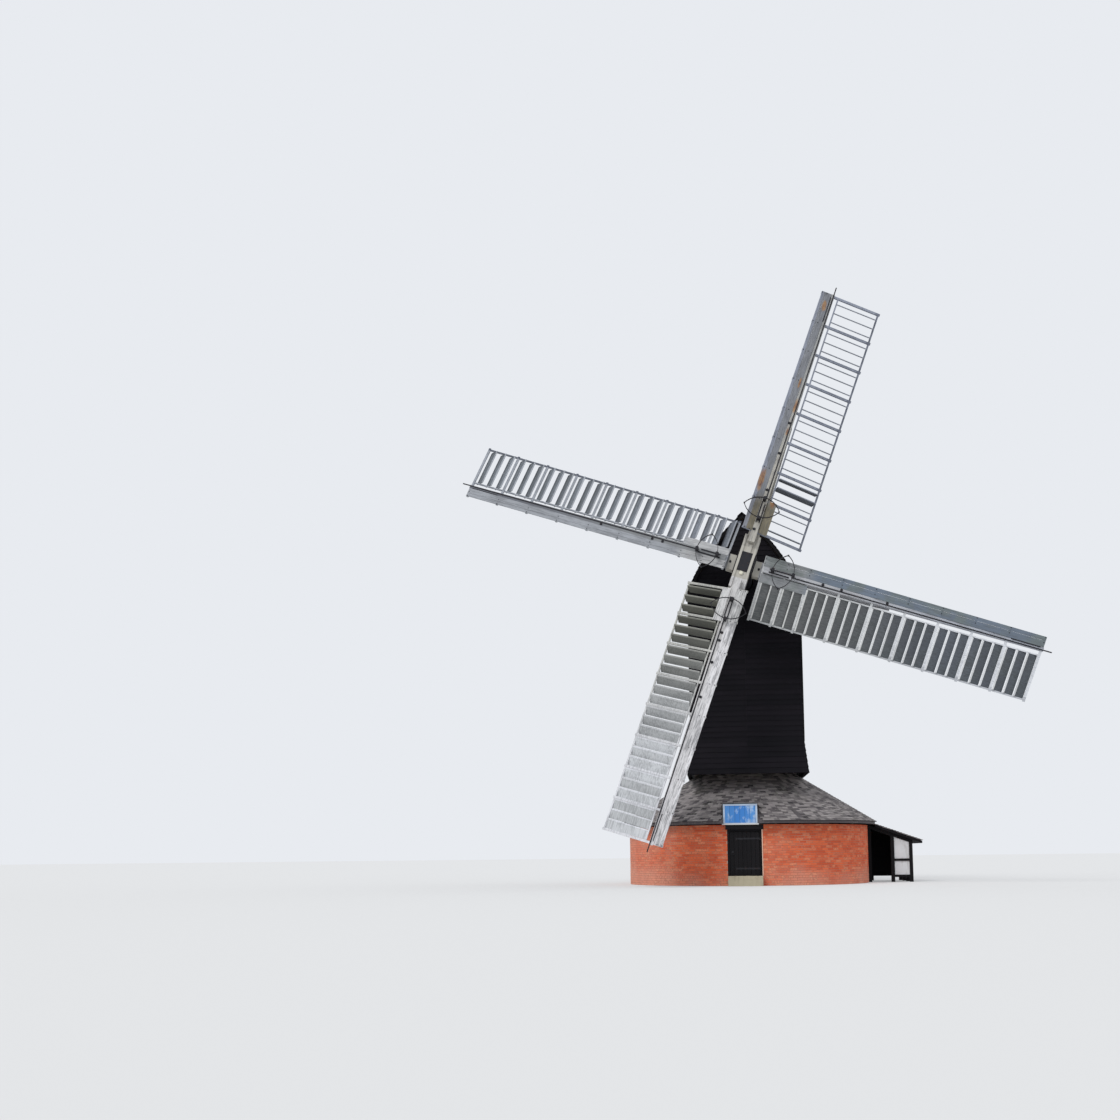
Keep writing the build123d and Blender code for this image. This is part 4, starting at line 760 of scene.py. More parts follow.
class Bench:
    """Models pieces with primitives that are shaped in edit mode, and joins their copies."""

    def __init__(self) -> None:
        """Starts with nothing selected."""
        bpy.ops.object.select_all(action="DESELECT")

    def block(self, name: str, size: Sequence[float]) -> Object:
        """A box from the origin, ready to be shaped.

        Args:
            name: The piece's name.
            size: Its length, height and thickness.

        Returns:
            The box.
        """
        bpy.ops.object.select_all(action="DESELECT")
        bpy.ops.mesh.primitive_cube_add(size=1.0, location=(0.5, 0.5, 0.5))
        made = bpy.context.object
        made.name = name
        bpy.ops.object.transform_apply(location=True, rotation=False, scale=False)
        made.scale = size
        bpy.ops.object.transform_apply(location=False, rotation=False, scale=True)
        self.free(made)
        return made

    def rod(self, name: str, radius: float, length: float, sides: int) -> Object:
        """A bar of a few sides that stands on the origin, ready to be shaped.

        Args:
            name: The piece's name.
            radius: Its radius.
            length: Its length.
            sides: How many sides it has.

        Returns:
            The bar.
        """
        bpy.ops.object.select_all(action="DESELECT")
        bpy.ops.mesh.primitive_cylinder_add(
            vertices=sides, radius=radius, depth=length, location=(0.0, 0.0, length / 2)
        )
        made = bpy.context.object
        made.name = name
        bpy.ops.object.transform_apply(location=True, rotation=True, scale=True)
        self.free(made)
        return made

    def free(self, piece: Object) -> None:
        """Clears what is selected on a piece's mesh.

        Args:
            piece: The piece.
        """
        mesh = piece.data
        for group in (mesh.polygons, mesh.edges, mesh.vertices):
            group.foreach_set("select", [False] * len(group))

    def pick_faces(self, piece: Object, wanted: Wanted) -> None:
        """Selects the faces whose centre and normal are wanted.

        Args:
            piece: The piece.
            wanted: Tells by a face's centre and normal whether it is selected.
        """
        self.free(piece)
        for face in piece.data.polygons:
            face.select = wanted(face.center, face.normal)

    def pick_edges(self, piece: Object, wanted: Wanted) -> None:
        """Selects the edges whose middle and direction are wanted.

        Args:
            piece: The piece.
            wanted: Tells by an edge's middle and direction whether it is selected.
        """
        self.free(piece)
        corners = piece.data.vertices
        for edge in piece.data.edges:
            start, end = (corners[index].co for index in edge.vertices)
            edge.select = wanted((start + end) / 2, (end - start).normalized())

    def shape(self, piece: Object, mode: str, work: Callable[[], None]) -> None:
        """Runs edit-mode work on what is selected.

        Args:
            piece: The piece.
            mode: Whether faces or edges are worked on.
            work: The operators to run.
        """
        bpy.context.view_layer.objects.active = piece
        piece.select_set(True)
        bpy.ops.object.mode_set(mode="EDIT")
        bpy.context.tool_settings.mesh_select_mode = (False, mode == "EDGE", mode == "FACE")
        work()
        bpy.ops.object.mode_set(mode="OBJECT")
        self.free(piece)

    def ease(
        self, piece: Object, wanted: Wanted, offset: float, segments: int = 1
    ) -> Object:
        """Bevels some edges of a piece.

        Args:
            piece: The piece.
            wanted: Tells by an edge's middle and direction whether it is bevelled.
            offset: The bevel's width.
            segments: How many faces the bevel has.

        Returns:
            The piece.
        """
        self.pick_edges(piece, wanted)
        self.shape(piece, "EDGE", lambda: bpy.ops.mesh.bevel(offset=offset, segments=segments))
        return piece

    def discard(self, piece: Object) -> None:
        """Removes a pattern once its copies are made."""
        bpy.data.objects.remove(piece, do_unlink=True)

    def lay(
        self,
        name: str,
        pattern: Object,
        cells: Sequence[Cell],
        finishes: Sequence[Material],
        tones: Sequence[float] | None = None,
    ) -> Object:
        """Joins one copy of a pattern for each cell, stretched to the cell's corners.

        Args:
            name: The finished piece's name.
            pattern: What is copied; its own box is fitted to each cell.
            cells: The corners that each copy fills.
            finishes: The materials, in the order of the pattern's material numbers.
            tones: The random value of each copy.

        Returns:
            The finished piece.
        """
        mesh = pattern.data
        points = np.zeros(len(mesh.vertices) * 3)
        mesh.vertices.foreach_get("co", points)
        points = points.reshape(-1, 3)
        low, high = points.min(0), points.max(0)
        share = (points - low) / (high - low)
        corners = np.array(cells, float)
        sides = [np.stack([1 - share[:, axis], share[:, axis]], 1) for axis in range(3)]
        weights = np.einsum("mi,mj,mk->mijk", *sides)
        placed = np.einsum("mijk,nijkx->nmx", weights, corners)
        along = corners[:, 1, 0, 0] - corners[:, 0, 0, 0]
        up = corners[:, 0, 1, 0] - corners[:, 0, 0, 0]
        out = corners[:, 0, 0, 1] - corners[:, 0, 0, 0]
        turned = np.einsum("nx,nx->n", np.cross(along, up), out) < 0
        loops = [tuple(face.vertices) for face in mesh.polygons]
        faces: list[tuple[int, ...]] = []
        for index in range(len(corners)):
            offset = index * len(share)
            for loop in loops:
                ordered = reversed(loop) if turned[index] else loop
                faces.append(tuple(corner + offset for corner in ordered))
        joined = bpy.data.meshes.new(name)
        joined.from_pydata(placed.reshape(-1, 3).tolist(), [], faces)
        numbers = [face.material_index for face in mesh.polygons] * len(corners)
        joined.polygons.foreach_set("material_index", numbers)
        values = [0.5] * len(corners) if tones is None else list(tones)
        tone = joined.attributes.new(TONE, "FLOAT", "FACE")
        tone.data.foreach_set("value", np.repeat(values, len(loops)).astype(np.float32))
        for finish in finishes:
            joined.materials.append(finish)
        joined.update()
        piece = bpy.data.objects.new(name, joined)
        bpy.context.scene.collection.objects.link(piece)
        self.discard(pattern)
        return piece


def filled(point: Callable[[int, int, int], Sequence[float]]) -> Cell:
    """Works out the eight corners of a cell.

    Args:
        point: Gives the corner at its start or end, foot or head, and back or face.

    Returns:
        The corners.
    """
    ends = (0, 1)
    return np.array([[[tuple(point(along, up, out)) for out in ends] for up in ends] for along in ends])


def cell(
    base: Sequence[Vector], top: Sequence[Vector], outward: Sequence[Vector], inner: float = 0.0
) -> Cell:
    """The corners of a board between two lines.

    Args:
        base: Start and end of its lower edge.
        top: Start and end of its upper edge.
        outward: How far its face stands out at the lower and at the upper edge, as vectors.
        inner: How far its back stands off the lines, as a share of the outward vectors.

    Returns:
        The corners.
    """
    lines, reach = (base, top), (inner, 1.0)
    return filled(lambda along, up, out: lines[up][along] + outward[up] * reach[out])


def box_cell(low: Vector, high: Vector) -> Cell:
    """The corners of a box that lies along X, with its thickness along Y."""
    ends = (low, high)
    return filled(lambda along, up, out: (ends[along].x, ends[out].y, ends[up].z))


def upright_cell(low: Vector, high: Vector) -> Cell:
    """The corners of a plank that stands upright, with its face to the front."""
    ends = (low, high)
    return filled(lambda along, up, out: (ends[up].x, ends[1 - out].y, ends[along].z))


def turned_cell(origin: Vector, axes: Sequence[Vector], size: Sequence[float]) -> Cell:
    """The corners of a box with its middle at a point.

    Args:
        origin: The middle.
        axes: The directions of its length, height and thickness.
        size: Its length, height and thickness.

    Returns:
        The corners.
    """

    def corner(*ends: int) -> Vector:
        """Goes from the middle to one corner.

        Args:
            ends: Nought or one for the start or end, foot or head, and back or face.

        Returns:
            The corner.
        """
        point = Vector(origin)
        for axis, end, length in zip(axes, ends, size):
            point = point + axis * ((end - 0.5) * length)
        return point

    return filled(corner)


def polar_cell(
    angles: tuple[float, float],
    lower: tuple[tuple[float, float], tuple[float, float]],
    upper: tuple[tuple[float, float], tuple[float, float]],
) -> Cell:
    """The corners of a brick or tile that follows a round wall or a cone.

    Args:
        angles: Where it starts and ends round the post's axis.
        lower: Radius and height of its lower edge, at its back and at its face.
        upper: The same for its upper edge.

    Returns:
        The corners.
    """
    turns = [(math.cos(angle), math.sin(angle)) for angle in angles]

    def corner(along: int, up: int, out: int) -> tuple[float, float, float]:
        """One corner, from its radius and height."""
        radius, height = (lower, upper)[up][out]
        return radius * turns[along][0], radius * turns[along][1], height

    return filled(corner)


@dataclass(frozen=True)
class Finishes:
    """Every material of the mill."""

    brick: Material
    mortar: Material
    pier_brick: Material
    tile: Material
    stone: Material
    tar: Material
    tar_depth: Material
    black: Material
    black_across: Material
    oak: Material
    oak_depth: Material
    oak_upright: Material
    infill: Material
    white_across: Material
    light_paint: Material
    sail_timber: Material
    sail_board: Material
    sail_bars: Material
    shutter: Material
    shutter_edge_and_highlight: Material
    knob: Material
    blue: Material
    strip: Material
    iron: Material

    @staticmethod
    def build(sails: SailPlace) -> Finishes:
        """Makes every material once.

        Args:
            sails: Where the rotor is.

        Returns:
            The materials.
        """
        tar = dict(colour=(12, 12, 17), second=(24, 21, 27), worn=(46, 36, 40), dirt=(7, 7, 9))
        tar.update(roughness=0.62, shine=0.12, wear=0.25, spread=0.7)
        black = dict(colour=(19, 18, 21), second=(30, 28, 30), worn=(62, 55, 52), dirt=(11, 11, 12))
        black.update(roughness=0.68, shine=0.15, wear=0.3)
        oak = dict(colour=(104, 84, 64), second=(82, 66, 52), worn=(132, 116, 98), dirt=(52, 42, 34))
        oak.update(roughness=0.8)
        white = dict(colour=(222, 222, 220), second=(206, 207, 206), worn=(168, 164, 156))
        white.update(dirt=(128, 126, 118), roughness=0.62, wear=0.35)
        fired = ((226, 110, 68), (204, 88, 54), (232, 140, 100))
        pale = (196, 214, 234), (214, 226, 238), (160, 170, 180), (120, 130, 142)
        soot = (96, 94, 98)
        return Finishes(
            brick=Brick("brick_face", fired, (220, 168, 146), (128, 70, 64)).make(),
            mortar=Masonry(
                "wall_mortar", (178, 92, 62), (158, 78, 56), (176, 118, 94), (206, 192, 176), 0.7, 3.56, 3.7
            ).make(),
            pier_brick=Masonry(
                "pier_brick", (170, 84, 58), (146, 70, 50), (176, 158, 140), (196, 186, 172)
            ).make(),
            tile=Tile(
                "roof_tile", ((88, 83, 85), (148, 142, 140), (50, 47, 50)), (184, 179, 168), (92, 92, 78)
            ).make(),
            stone=Plaster("step_stone", (186, 177, 152), (166, 157, 134), (120, 111, 94), 0.003).make(),
            tar=Timber("tar_across", grain=Grain.ACROSS, **tar).make(),
            tar_depth=Timber("tar_depth", grain=Grain.DEPTH, **tar).make(),
            black=Timber("black_upright", grain=Grain.UPRIGHT, **black).make(),
            black_across=Timber("black_across", grain=Grain.ACROSS, **black).make(),
            oak=Timber("oak_across", grain=Grain.ACROSS, **oak).make(),
            oak_depth=Timber("oak_depth", grain=Grain.DEPTH, **oak).make(),
            oak_upright=Timber("oak_upright", grain=Grain.UPRIGHT, **oak).make(),
            infill=ShedPanel("white_infill").make(),
            white_across=Timber("white_across", grain=Grain.ACROSS, **white).make(),
            light_paint=Timber("light_paint", *pale, Grain.ACROSS).make(),
            # The sails' darker, bluer colours below are painted shade on timbers seen from their shaded
            # side.
            sail_timber=SailPaint(
                "sail_timber",
                sails,
                ((182, 178, 168), (178, 179, 182), (206, 204, 202), (142, 144, 145)),
                ((168, 169, 167), (172, 176, 184), (222, 220, 221), (112, 115, 122)),
                soot,
                (0.5, 0.45, 0.5, 0.4),
                rust=(Rust(5.15, -0.01, 0.3, 0.09), Rust(4.3, -0.02, 0.2, 0.05)),
            ).make(),
            sail_board=SailPaint(
                "sail_board",
                sails,
                ((136, 128, 108), (152, 154, 156), (206, 205, 203), (186, 186, 186)),
                ((140, 142, 147), (116, 127, 141), (224, 222, 223), (162, 165, 170)),
                (86, 87, 90),
                (0.5, 0.45, 0.66, 0.45),
                (1.7, 2.3),
                moss=(0.0, 0.55, 0.0, 0.0),
                # painted shade on the outer part of sail A's leading board
                edge=(154, 160, 176),
                edge_shaded=(0.65, 0.0, 0.0, 0.0),
                rust=(
                    Rust(2.6, -0.3, 0.5, 0.12),
                    Rust(8.55, -0.15, 0.25, 0.1),
                    Rust(5.9, -0.12, 0.25, 0.05),
                    Rust(2.05, 0.25, 0.3, 0.12),
                ),
                relief=0.002,
            ).make(),
            sail_bars=SailPaint(
                "sail_bars",
                sails,
                ((152, 157, 170), (214, 215, 214), (186, 185, 178), (168, 171, 177)),
                ((152, 157, 170), (222, 224, 228), (216, 216, 219), (162, 166, 173)),
                (92, 95, 100),
                (0.4, 0.25, 0.35, 0.4),
                # painted shade along the hem laths seen from below
                hem=(74, 79, 92),
                hem_shaded=(0.5, 0.3, 0.0, 0.9),
            ).make(),
            # shutter faces: canvas colour darkened as painted shade where they are seen from their shaded
            # side
            shutter=SailPaint(
                "shutter_panel_and_shade",
                sails,
                ((126, 130, 138), (116, 117, 118), (118, 118, 108), (132, 137, 146)),
                ((126, 130, 138), (100, 105, 113), (212, 214, 216), (120, 126, 132)),
                (70, 72, 74),
                (0.4, 0.55, 0.35, 0.5),
                (1.6, 6.6),
                spread=0.9,
                moss=(0.0, 0.12, 0.0, 0.0),
            ).make(),
            # shutter edges: white frame, paled as a painted highlight of the lit long edge
            shutter_edge_and_highlight=SailPaint(
                "shutter_edge_and_highlight",
                sails,
                ((158, 163, 174), (228, 228, 225), (160, 159, 148), (166, 170, 177)),
                ((158, 163, 174), (236, 237, 238), (222, 223, 227), (170, 174, 181)),
                (120, 122, 124),
                (0.3, 0.2, 0.3, 0.3),
                (1.6, 6.6),
            ).make(),
            knob=Plaster("knob_paint", (226, 222, 204), (208, 204, 184), (150, 142, 112), 0.001).make(),
            blue=BoardPaint("blue_boards").make(),
            # painted highlight for the lit brick reveal at the doorway
            strip=Plaster("lit_reveal_highlight", (232, 202, 182), (222, 184, 160), (190, 128, 98), 0.001).make(),
            iron=Iron("black_iron").make(),
        )


@dataclass
class Ground:
    """The plain floor, the lamps and the camera."""

    camera_at: tuple[float, float, float] = (-1.098, -41.596, 0.977)
    heading: float = math.radians(7.08)
    pitch: float = math.radians(5.09)
    roll: float = math.radians(-0.61)
    focus: float = 1228.4  # pixels of a photograph that is 1120 pixels wide
    frame: float = 1120.0
    rise: float = 186.0  # pixels of the level line's shift down from the middle

    def _seen(self, tree: Tree) -> Val:
        """One where the camera or a reflection looks, and nought for the light itself."""
        path = tree.node("ShaderNodeLightPath")
        return tree.maths("MAXIMUM", path["Is Camera Ray"], path["Is Glossy Ray"])

    def floor(self) -> None:
        """Lays the floor and makes its material."""
        bpy.ops.object.select_all(action="DESELECT")
        bpy.ops.mesh.primitive_plane_add(size=600.0, location=(0.0, 0.0, -0.002))
        plane = bpy.context.object
        plane.name = "floor"
        tree = Tree("floor_pale")
        seen = self._seen(tree)
        matt = tree.node("ShaderNodeBsdfDiffuse", None, {"Color": linear((214, 214, 212))})["BSDF"]
        glow = tree.node("ShaderNodeEmission", None, {"Color": linear((236, 237, 239)), "Strength": 1.0})
        mixed = {0: seen * 0.35, 1: matt, 2: glow["Emission"]}
        both = tree.node("ShaderNodeMixShader", None, mixed)["Shader"]
        tree.node("ShaderNodeOutputMaterial", None, {"Surface": both})
        plane.data.materials.append(tree.material)

    def lamps(self) -> None:
        """Lights the mill from an even sky and one broad lamp."""
        world = bpy.data.worlds.new("studio")
        bpy.context.scene.world = world
        tree = Tree("studio", world)
        seen = self._seen(tree)
        lit = {"Color": linear((236, 240, 248)), "Strength": 0.78}
        shown = {"Color": linear((232, 235, 240)), "Strength": 1.0}
        light = tree.node("ShaderNodeBackground", None, lit)["Background"]
        pale = tree.node("ShaderNodeBackground", None, shown)["Background"]
        mixed = tree.node("ShaderNodeMixShader", None, {0: seen, 1: light, 2: pale})["Shader"]
        tree.node("ShaderNodeOutputWorld", None, {"Surface": mixed})
        for name, turn, height, strength, spread in (
            ("key", -35.0, 48.0, 1.5, 25.0),
            ("fill", 120.0, 35.0, 0.5, 60.0),
        ):
            lamp = bpy.data.lights.new(name, "SUN")
            lamp.energy = strength
            lamp.angle = math.radians(spread)
            holder = bpy.data.objects.new(name, lamp)
            bpy.context.scene.collection.objects.link(holder)
            holder.rotation_euler = (math.radians(90.0 - height), 0.0, math.radians(turn))

    def camera(self) -> None:
        """Sets the camera where the photograph was taken."""
        lens = bpy.data.cameras.new("camera")
        lens.sensor_width = 36.0
        lens.lens = self.focus / self.frame * lens.sensor_width
        lens.shift_y = self.rise / self.frame
        lens.clip_end = 1000.0
        holder = bpy.data.objects.new("camera", lens)
        bpy.context.scene.collection.objects.link(holder)
        holder.location = self.camera_at
        holder.rotation_mode = "XYZ"
        holder.rotation_euler = self._turn()
        bpy.context.scene.camera = holder

    def _turn(self) -> tuple[float, float, float]:
        """Works out the camera's rotation from its heading, pitch and roll.

        Returns:
            The turns about X, Y and Z.
        """
        matrix = Matrix.Rotation(self.heading, 3, "Z")
        matrix = matrix @ Matrix.Rotation(math.pi / 2 + self.pitch, 3, "X")
        matrix = matrix @ Matrix.Rotation(self.roll, 3, "Z")
        return tuple(matrix.to_euler("XYZ"))


@dataclass
class Piece:
    """A sub-assembly's helper: the bench, the finishes and the random draws."""

    bench: Bench
    finishes: Finishes
    draws: random.Random = field(default_factory=lambda: random.Random(11))

    def settle(self, piece: Object, body: str, slot: str, *nodes: str) -> None:
        """Lets a piece ride on its body and reports it.

        Args:
            piece: The piece.
            body: The body that carries it.
            slot: Not used.
            nodes: The built parts that it stands for.
        """
        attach(piece, body)
        if nodes:
            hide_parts(*nodes)
        LOG.info("%s rides on %s with %d faces", piece.name, body, len(piece.data.polygons))

    def paint(self, names: Iterable[str], finish: Material) -> None:
        """Gives built parts their finish.

        Args:
            names: The built parts.
            finish: Their material.
        """
        for name in names:
            part = bpy.data.objects[name]
            part.data.materials.clear()
            part.data.materials.append(finish)

    def board_pattern(self) -> Object:
        """A board whose lower and upper outer edges are eased."""
        board = self.bench.block("board_pattern", (1.0, 0.18, 0.025))
        return self.bench.ease(board, lambda at, run: abs(run.x) > STRAIGHT and at.z > 0.02, 0.006)

    def bolt_pattern(self) -> Object:
        """Makes a six-sided washer with a smaller head on it.

        Returns:
            The pattern.
        """
        washer = 0.008
        bolt = self.bench.rod("bolt_pattern", 0.03, washer, 6)
        self.bench.pick_faces(bolt, lambda at, normal: normal.z > STRAIGHT)

        def head() -> None:
            """Raises the head from the washer."""
            bpy.ops.mesh.inset(thickness=0.008)
            bpy.ops.mesh.extrude_region_move(TRANSFORM_OT_translate={"value": (0.0, 0.0, washer * 2)})
            bpy.ops.mesh.inset(thickness=0.004)

        self.bench.shape(bolt, "FACE", head)
        return bolt


@dataclass
class Roundhouse(Piece):
    """The brick roundhouse: bricks, tiles, door and lean-to."""

    course: float = 0.075
    joint: float = 0.010
    stretcher: float = 0.225
    header: float = 0.1125
    brick_proud: float = 0.007
    brick_bed: float = 0.02
    gauge: float = 0.1
    tile_width: float = 0.168
    tile_length: float = 0.26
    tile_thickness: float = 0.013
    tile_lift: float = 0.033
    tile_gap: float = 0.003
    tile_off: float = 0.001  # how far a tile's head lies off the roof
    cover_drop: float = 0.0825  # height of the cone's cover of 70 mm, measured upright
    shed_cover_drop: float = 0.0745  # the same for the lean-to
    roof_slope: float = math.radians(32.0)
    roof_stop: float = 1.6
    eave_reach: float = 0.035
    shed_slope: float = math.radians(20.0)
    plank_count: int = 7
    plank_thickness: float = 0.04
    plank_gap: float = 0.0024
    ledge_half: float = 0.065
    strap_half: float = 0.025

    def __post_init__(self) -> None:
        """Reads the eave of the cone from the built roof."""
        low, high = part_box("roof_right")
        self.eave_radius = high.x
        self.eave_top = low.z + self.cover_drop

    def bricks(self) -> None:
        """Lays the bricks of the round wall, with a course of headers after three of stretchers."""
        low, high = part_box("wall_front_right")
        frame_low, frame_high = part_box("door_frame")
        radius = high.x
        bricks = self.bench.block("brick_pattern", (0.215, 0.065, 0.027))
        self.bench.ease(bricks, lambda at, run: at.z > 0.026, 0.0035)
        cells: list[Cell] = []
        tones: list[float] = []
        for course in range(int(high.z / self.course + 0.5)):
            length = self.header if course % 4 == 3 else self.stretcher
            count = round(2 * math.pi * radius / length)
            step = 2 * math.pi / count
            shift = 0.5 * step if course % 2 else 0.0
            bottom = course * self.course + self.joint / 2
            top = min(bottom + self.course - self.joint, high.z)
            for index in range(count):
                start = index * step + shift + self.joint / 2 / radius
                end = start + step - self.joint / radius
                clipped = self._clear_of_door((start, end), bottom, frame_low, frame_high, radius)
                if clipped is None:
                    continue
                proud = self.brick_proud + self.draws.uniform(-0.002, 0.002)
                back, face = radius - self.brick_bed, radius + proud
                lower, upper = (((back, z), (face, z)) for z in (bottom, top))
                cells.append(polar_cell(clipped, lower, upper))
                tones.append(self.draws.random())
        piece = self.bench.lay("wall_bricks", bricks, cells, [self.finishes.brick], tones)
        self.settle(piece, "roundhouse", "brick")
        self.paint(
            ("wall_front_left", "wall_front_right", "wall_back_left", "wall_back_right", "wall_over_door"),
            self.finishes.mortar,
        )
        self.paint(("brick_piers", "roundhouse_floor"), self.finishes.pier_brick)

    def _clear_of_door(
        self,
        angles: tuple[float, float],
        bottom: float,
        low: Vector,
        high: Vector,
        radius: float,
    ) -> tuple[float, float] | None:
        """Cuts a brick back to the side of the doorway.

        Args:
            angles: Where the brick starts and ends.
            bottom: The height of its lower edge.
            low: The doorway's lowest corner.
            high: The doorway's highest corner.
            radius: The wall's radius.

        Returns:
            Where it starts and ends now, or None where nothing of it is left.
        """
        if bottom > high.z:
            return angles
        left = 1.5 * math.pi + math.asin(low.x / radius)
        right = 1.5 * math.pi + math.asin(high.x / radius)
        start, end = angles
        least = 0.035 / radius
        if end <= left or start >= right:
            return angles
        if start < left - least:
            return start, left
        if end > right + least:
            return right, end
        return None

    def tile_pattern(self) -> Object:
        """Makes a plain tile with its tail edge eased.

        Returns:
            The pattern.
        """

        def tail(at: Vector, run: Vector) -> bool:
            """Whether an edge is the outer one of the tail."""
            return abs(run.x) > STRAIGHT and at.y < 0.01 and at.z > 0.006

        return self.bench.ease(self.bench.block("tile_pattern", (0.165, 0.26, 0.013)), tail, 0.004)

    def roof_height(self, radius: float) -> float:
        """Height of the cone's face at a distance from the axis."""
        return self.eave_top + (self.eave_radius - radius) * math.tan(self.roof_slope)

    def _tile(self, angles: tuple[float, float], tail: float, lift: float) -> Cell:
        """Places one tile of the cone on the tile below.

        Args:
            angles: Where it starts and ends round the post's axis.
            tail: Radius of its lower edge.
            lift: How far it stands up more than its row.

        Returns:
            The tile's corners.
        """
        slope_cos, slope_sin = math.cos(self.roof_slope), math.sin(self.roof_slope)
        head = tail - self.tile_length * slope_cos

        def point(radius: float, off: float) -> tuple[float, float]:
            """Radius and height of a point that stands off the cone."""
            return radius + off * slope_sin, self.roof_height(radius) + off * slope_cos

        low = self.tile_lift + lift
        lower = (point(tail, low), point(tail, low + self.tile_thickness))
        upper = (point(head, self.tile_off), point(head, self.tile_off + self.tile_thickness))
        return polar_cell(angles, lower, upper)

    def tiles(self) -> None:
        """Lays the tiles of the cone and of the hood over the light."""
        hood_low, hood_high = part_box("light_hood")
        light_low, light_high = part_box("light_frame")
        cells: list[Cell] = []
        tones: list[float] = []
        tail = self.eave_radius + self.eave_reach
        row = 0
        while tail > self.roof_stop:
            count = round(2 * math.pi * tail / self.tile_width)
            step = 2 * math.pi / count
            shift = 0.5 * step if row % 2 else 0.0
            for index in range(count):
                start = index * step + shift
                gap = self.tile_gap / 2 / tail
                angles = (start + gap, start + step - gap)
                middle = start + step / 2
                x, y = tail * math.cos(middle), tail * math.sin(middle)
                over_hood = hood_low.x + 0.05 < x < hood_high.x - 0.05 and y < 0
                if over_hood and self.roof_height(tail - 0.1) < hood_high.z - 0.04:
                    continue
                half = self.tile_width / 2 + 0.012
                beside = light_low.x - half < x < light_high.x + half and y < 0
                if beside and self.roof_height(tail) < light_high.z:
                    continue
                ragged = self.draws.uniform(-0.007, 0.007)
                lift = self.draws.uniform(0.0, 0.007)
                cells.append(self._tile(angles, tail + ragged, lift))
                tones.append(self.draws.random())
            tail -= self.gauge * math.cos(self.roof_slope)
            row += 1
        piece = self.bench.lay("cone_tiles", self.tile_pattern(), cells, [self.finishes.tile], tones)
        self.settle(piece, "roundhouse", "roof_tile")
        self.paint(("roof_left", "roof_right", "light_hood"), self.finishes.tile)
        self._hood_tiles(hood_low, hood_high)

    def _hood_tiles(self, low: Vector, high: Vector) -> None:
        """Lays the tiles of the little roof over the light.

        Args:
            low: The hood's lowest corner.
            high: Its highest corner.
        """
        light_low, light_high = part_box("light_frame")
        fall = (high.z - light_high.z) / (high.y - low.y)
        over = 0.03
        count = round((high.x - low.x + 2 * over) / self.tile_width)
        width = (high.x - low.x + 2 * over) / count
        out = Vector((0.0, 0.0, self.tile_thickness))
        cells: list[Cell] = []
        tones: list[float] = []
        y = light_low.y - 0.05
        row = 0
        while y < high.y - 0.55:
            for index in range(count + row % 2):
                left = low.x - over + (index - 0.5 * (row % 2)) * width
                right = min(left + width - self.tile_gap, high.x + over)
                left = max(left, low.x - over)
                base_z = light_high.z + (y - low.y) * fall + self.tile_lift
                top_z = light_high.z + (y + self.tile_length - low.y) * fall + 0.003
                ragged = self.draws.uniform(-0.005, 0.005)
                base = tuple(Vector((x, y + ragged, base_z)) for x in (left, right))
                top = tuple(Vector((x, y + self.tile_length, top_z)) for x in (left, right))
                cells.append(cell(base, top, (out, out)))
                tones.append(self.draws.random())
            y += self.gauge
            row += 1
        piece = self.bench.lay("hood_tiles", self.tile_pattern(), cells, [self.finishes.tile], tones)
        self.settle(piece, "roundhouse", "roof_tile")

    def door(self) -> None:
        """Makes the plank door with its ledges, nails and ring."""
        low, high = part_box("door_leaf")
        strap_low, strap_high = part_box("door_straps")
        face, back = low.y, low.y + self.plank_thickness
        width = (high.x - low.x) / self.plank_count
        cells = []
        for index in range(self.plank_count):
            left = low.x + index * width
            corner = Vector((left + self.plank_gap / 2, face, low.z))
            uneven = self.draws.uniform(0.0, 0.004)
            far = Vector((left + width - self.plank_gap / 2, back, high.z - uneven))
            cells.append(upright_cell(corner, far))
        centres = (strap_low.z + self.strap_half, strap_high.z - self.strap_half)
        for centre in centres:
            corner = Vector((low.x + self.ledge_half, back, centre - self.ledge_half))
            far = Vector((high.x - self.ledge_half, high.y, centre + self.ledge_half))
            cells.append(box_cell(corner, far))
        tones = [self.draws.random() for _ in cells]
        leaf = self.bench.lay("door_planks", self._plank_pattern(), cells, [self.finishes.black], tones)
        self.settle(leaf, "door", "black_timber", "door_leaf")
        nails = []
        for index in range(self.plank_count):
            for centre in centres:
                for side in (-0.04, 0.04):
                    x = low.x + (index + 0.5) * width
                    spot = Vector((x, face - 0.002, centre + side))
                    nails.append(turned_cell(spot, FRONT_AXES, (0.016, 0.016, 0.006)))
        for centre in centres:
            for index in range(4):
                x = strap_low.x + 0.05 + index * 0.19
                spot = Vector((x, strap_low.y + 0.003, centre))
                nails.append(turned_cell(spot, FRONT_AXES, (0.022, 0.022, 0.012)))
        piece = self.bench.lay("door_nails", self.bolt_pattern(), nails, [self.finishes.iron])
        self.settle(piece, "door", "black_iron")
        self._ring(Vector((low.x + 0.09, face, (low.z + high.z) / 2 + 0.05)))
        self.paint(("door_straps", "door_pins"), self.finishes.iron)
        self.paint(("door_frame",), self.finishes.black)
        self.paint(("door_step",), self.finishes.stone)

    def _plank_pattern(self) -> Object:
        """A plank with both edges of its face eased."""
        plank = self.bench.block("plank_pattern", (1.3, 0.13, 0.04))
        return self.bench.ease(plank, lambda at, run: abs(run.x) > STRAIGHT and at.z > 0.03, 0.006)

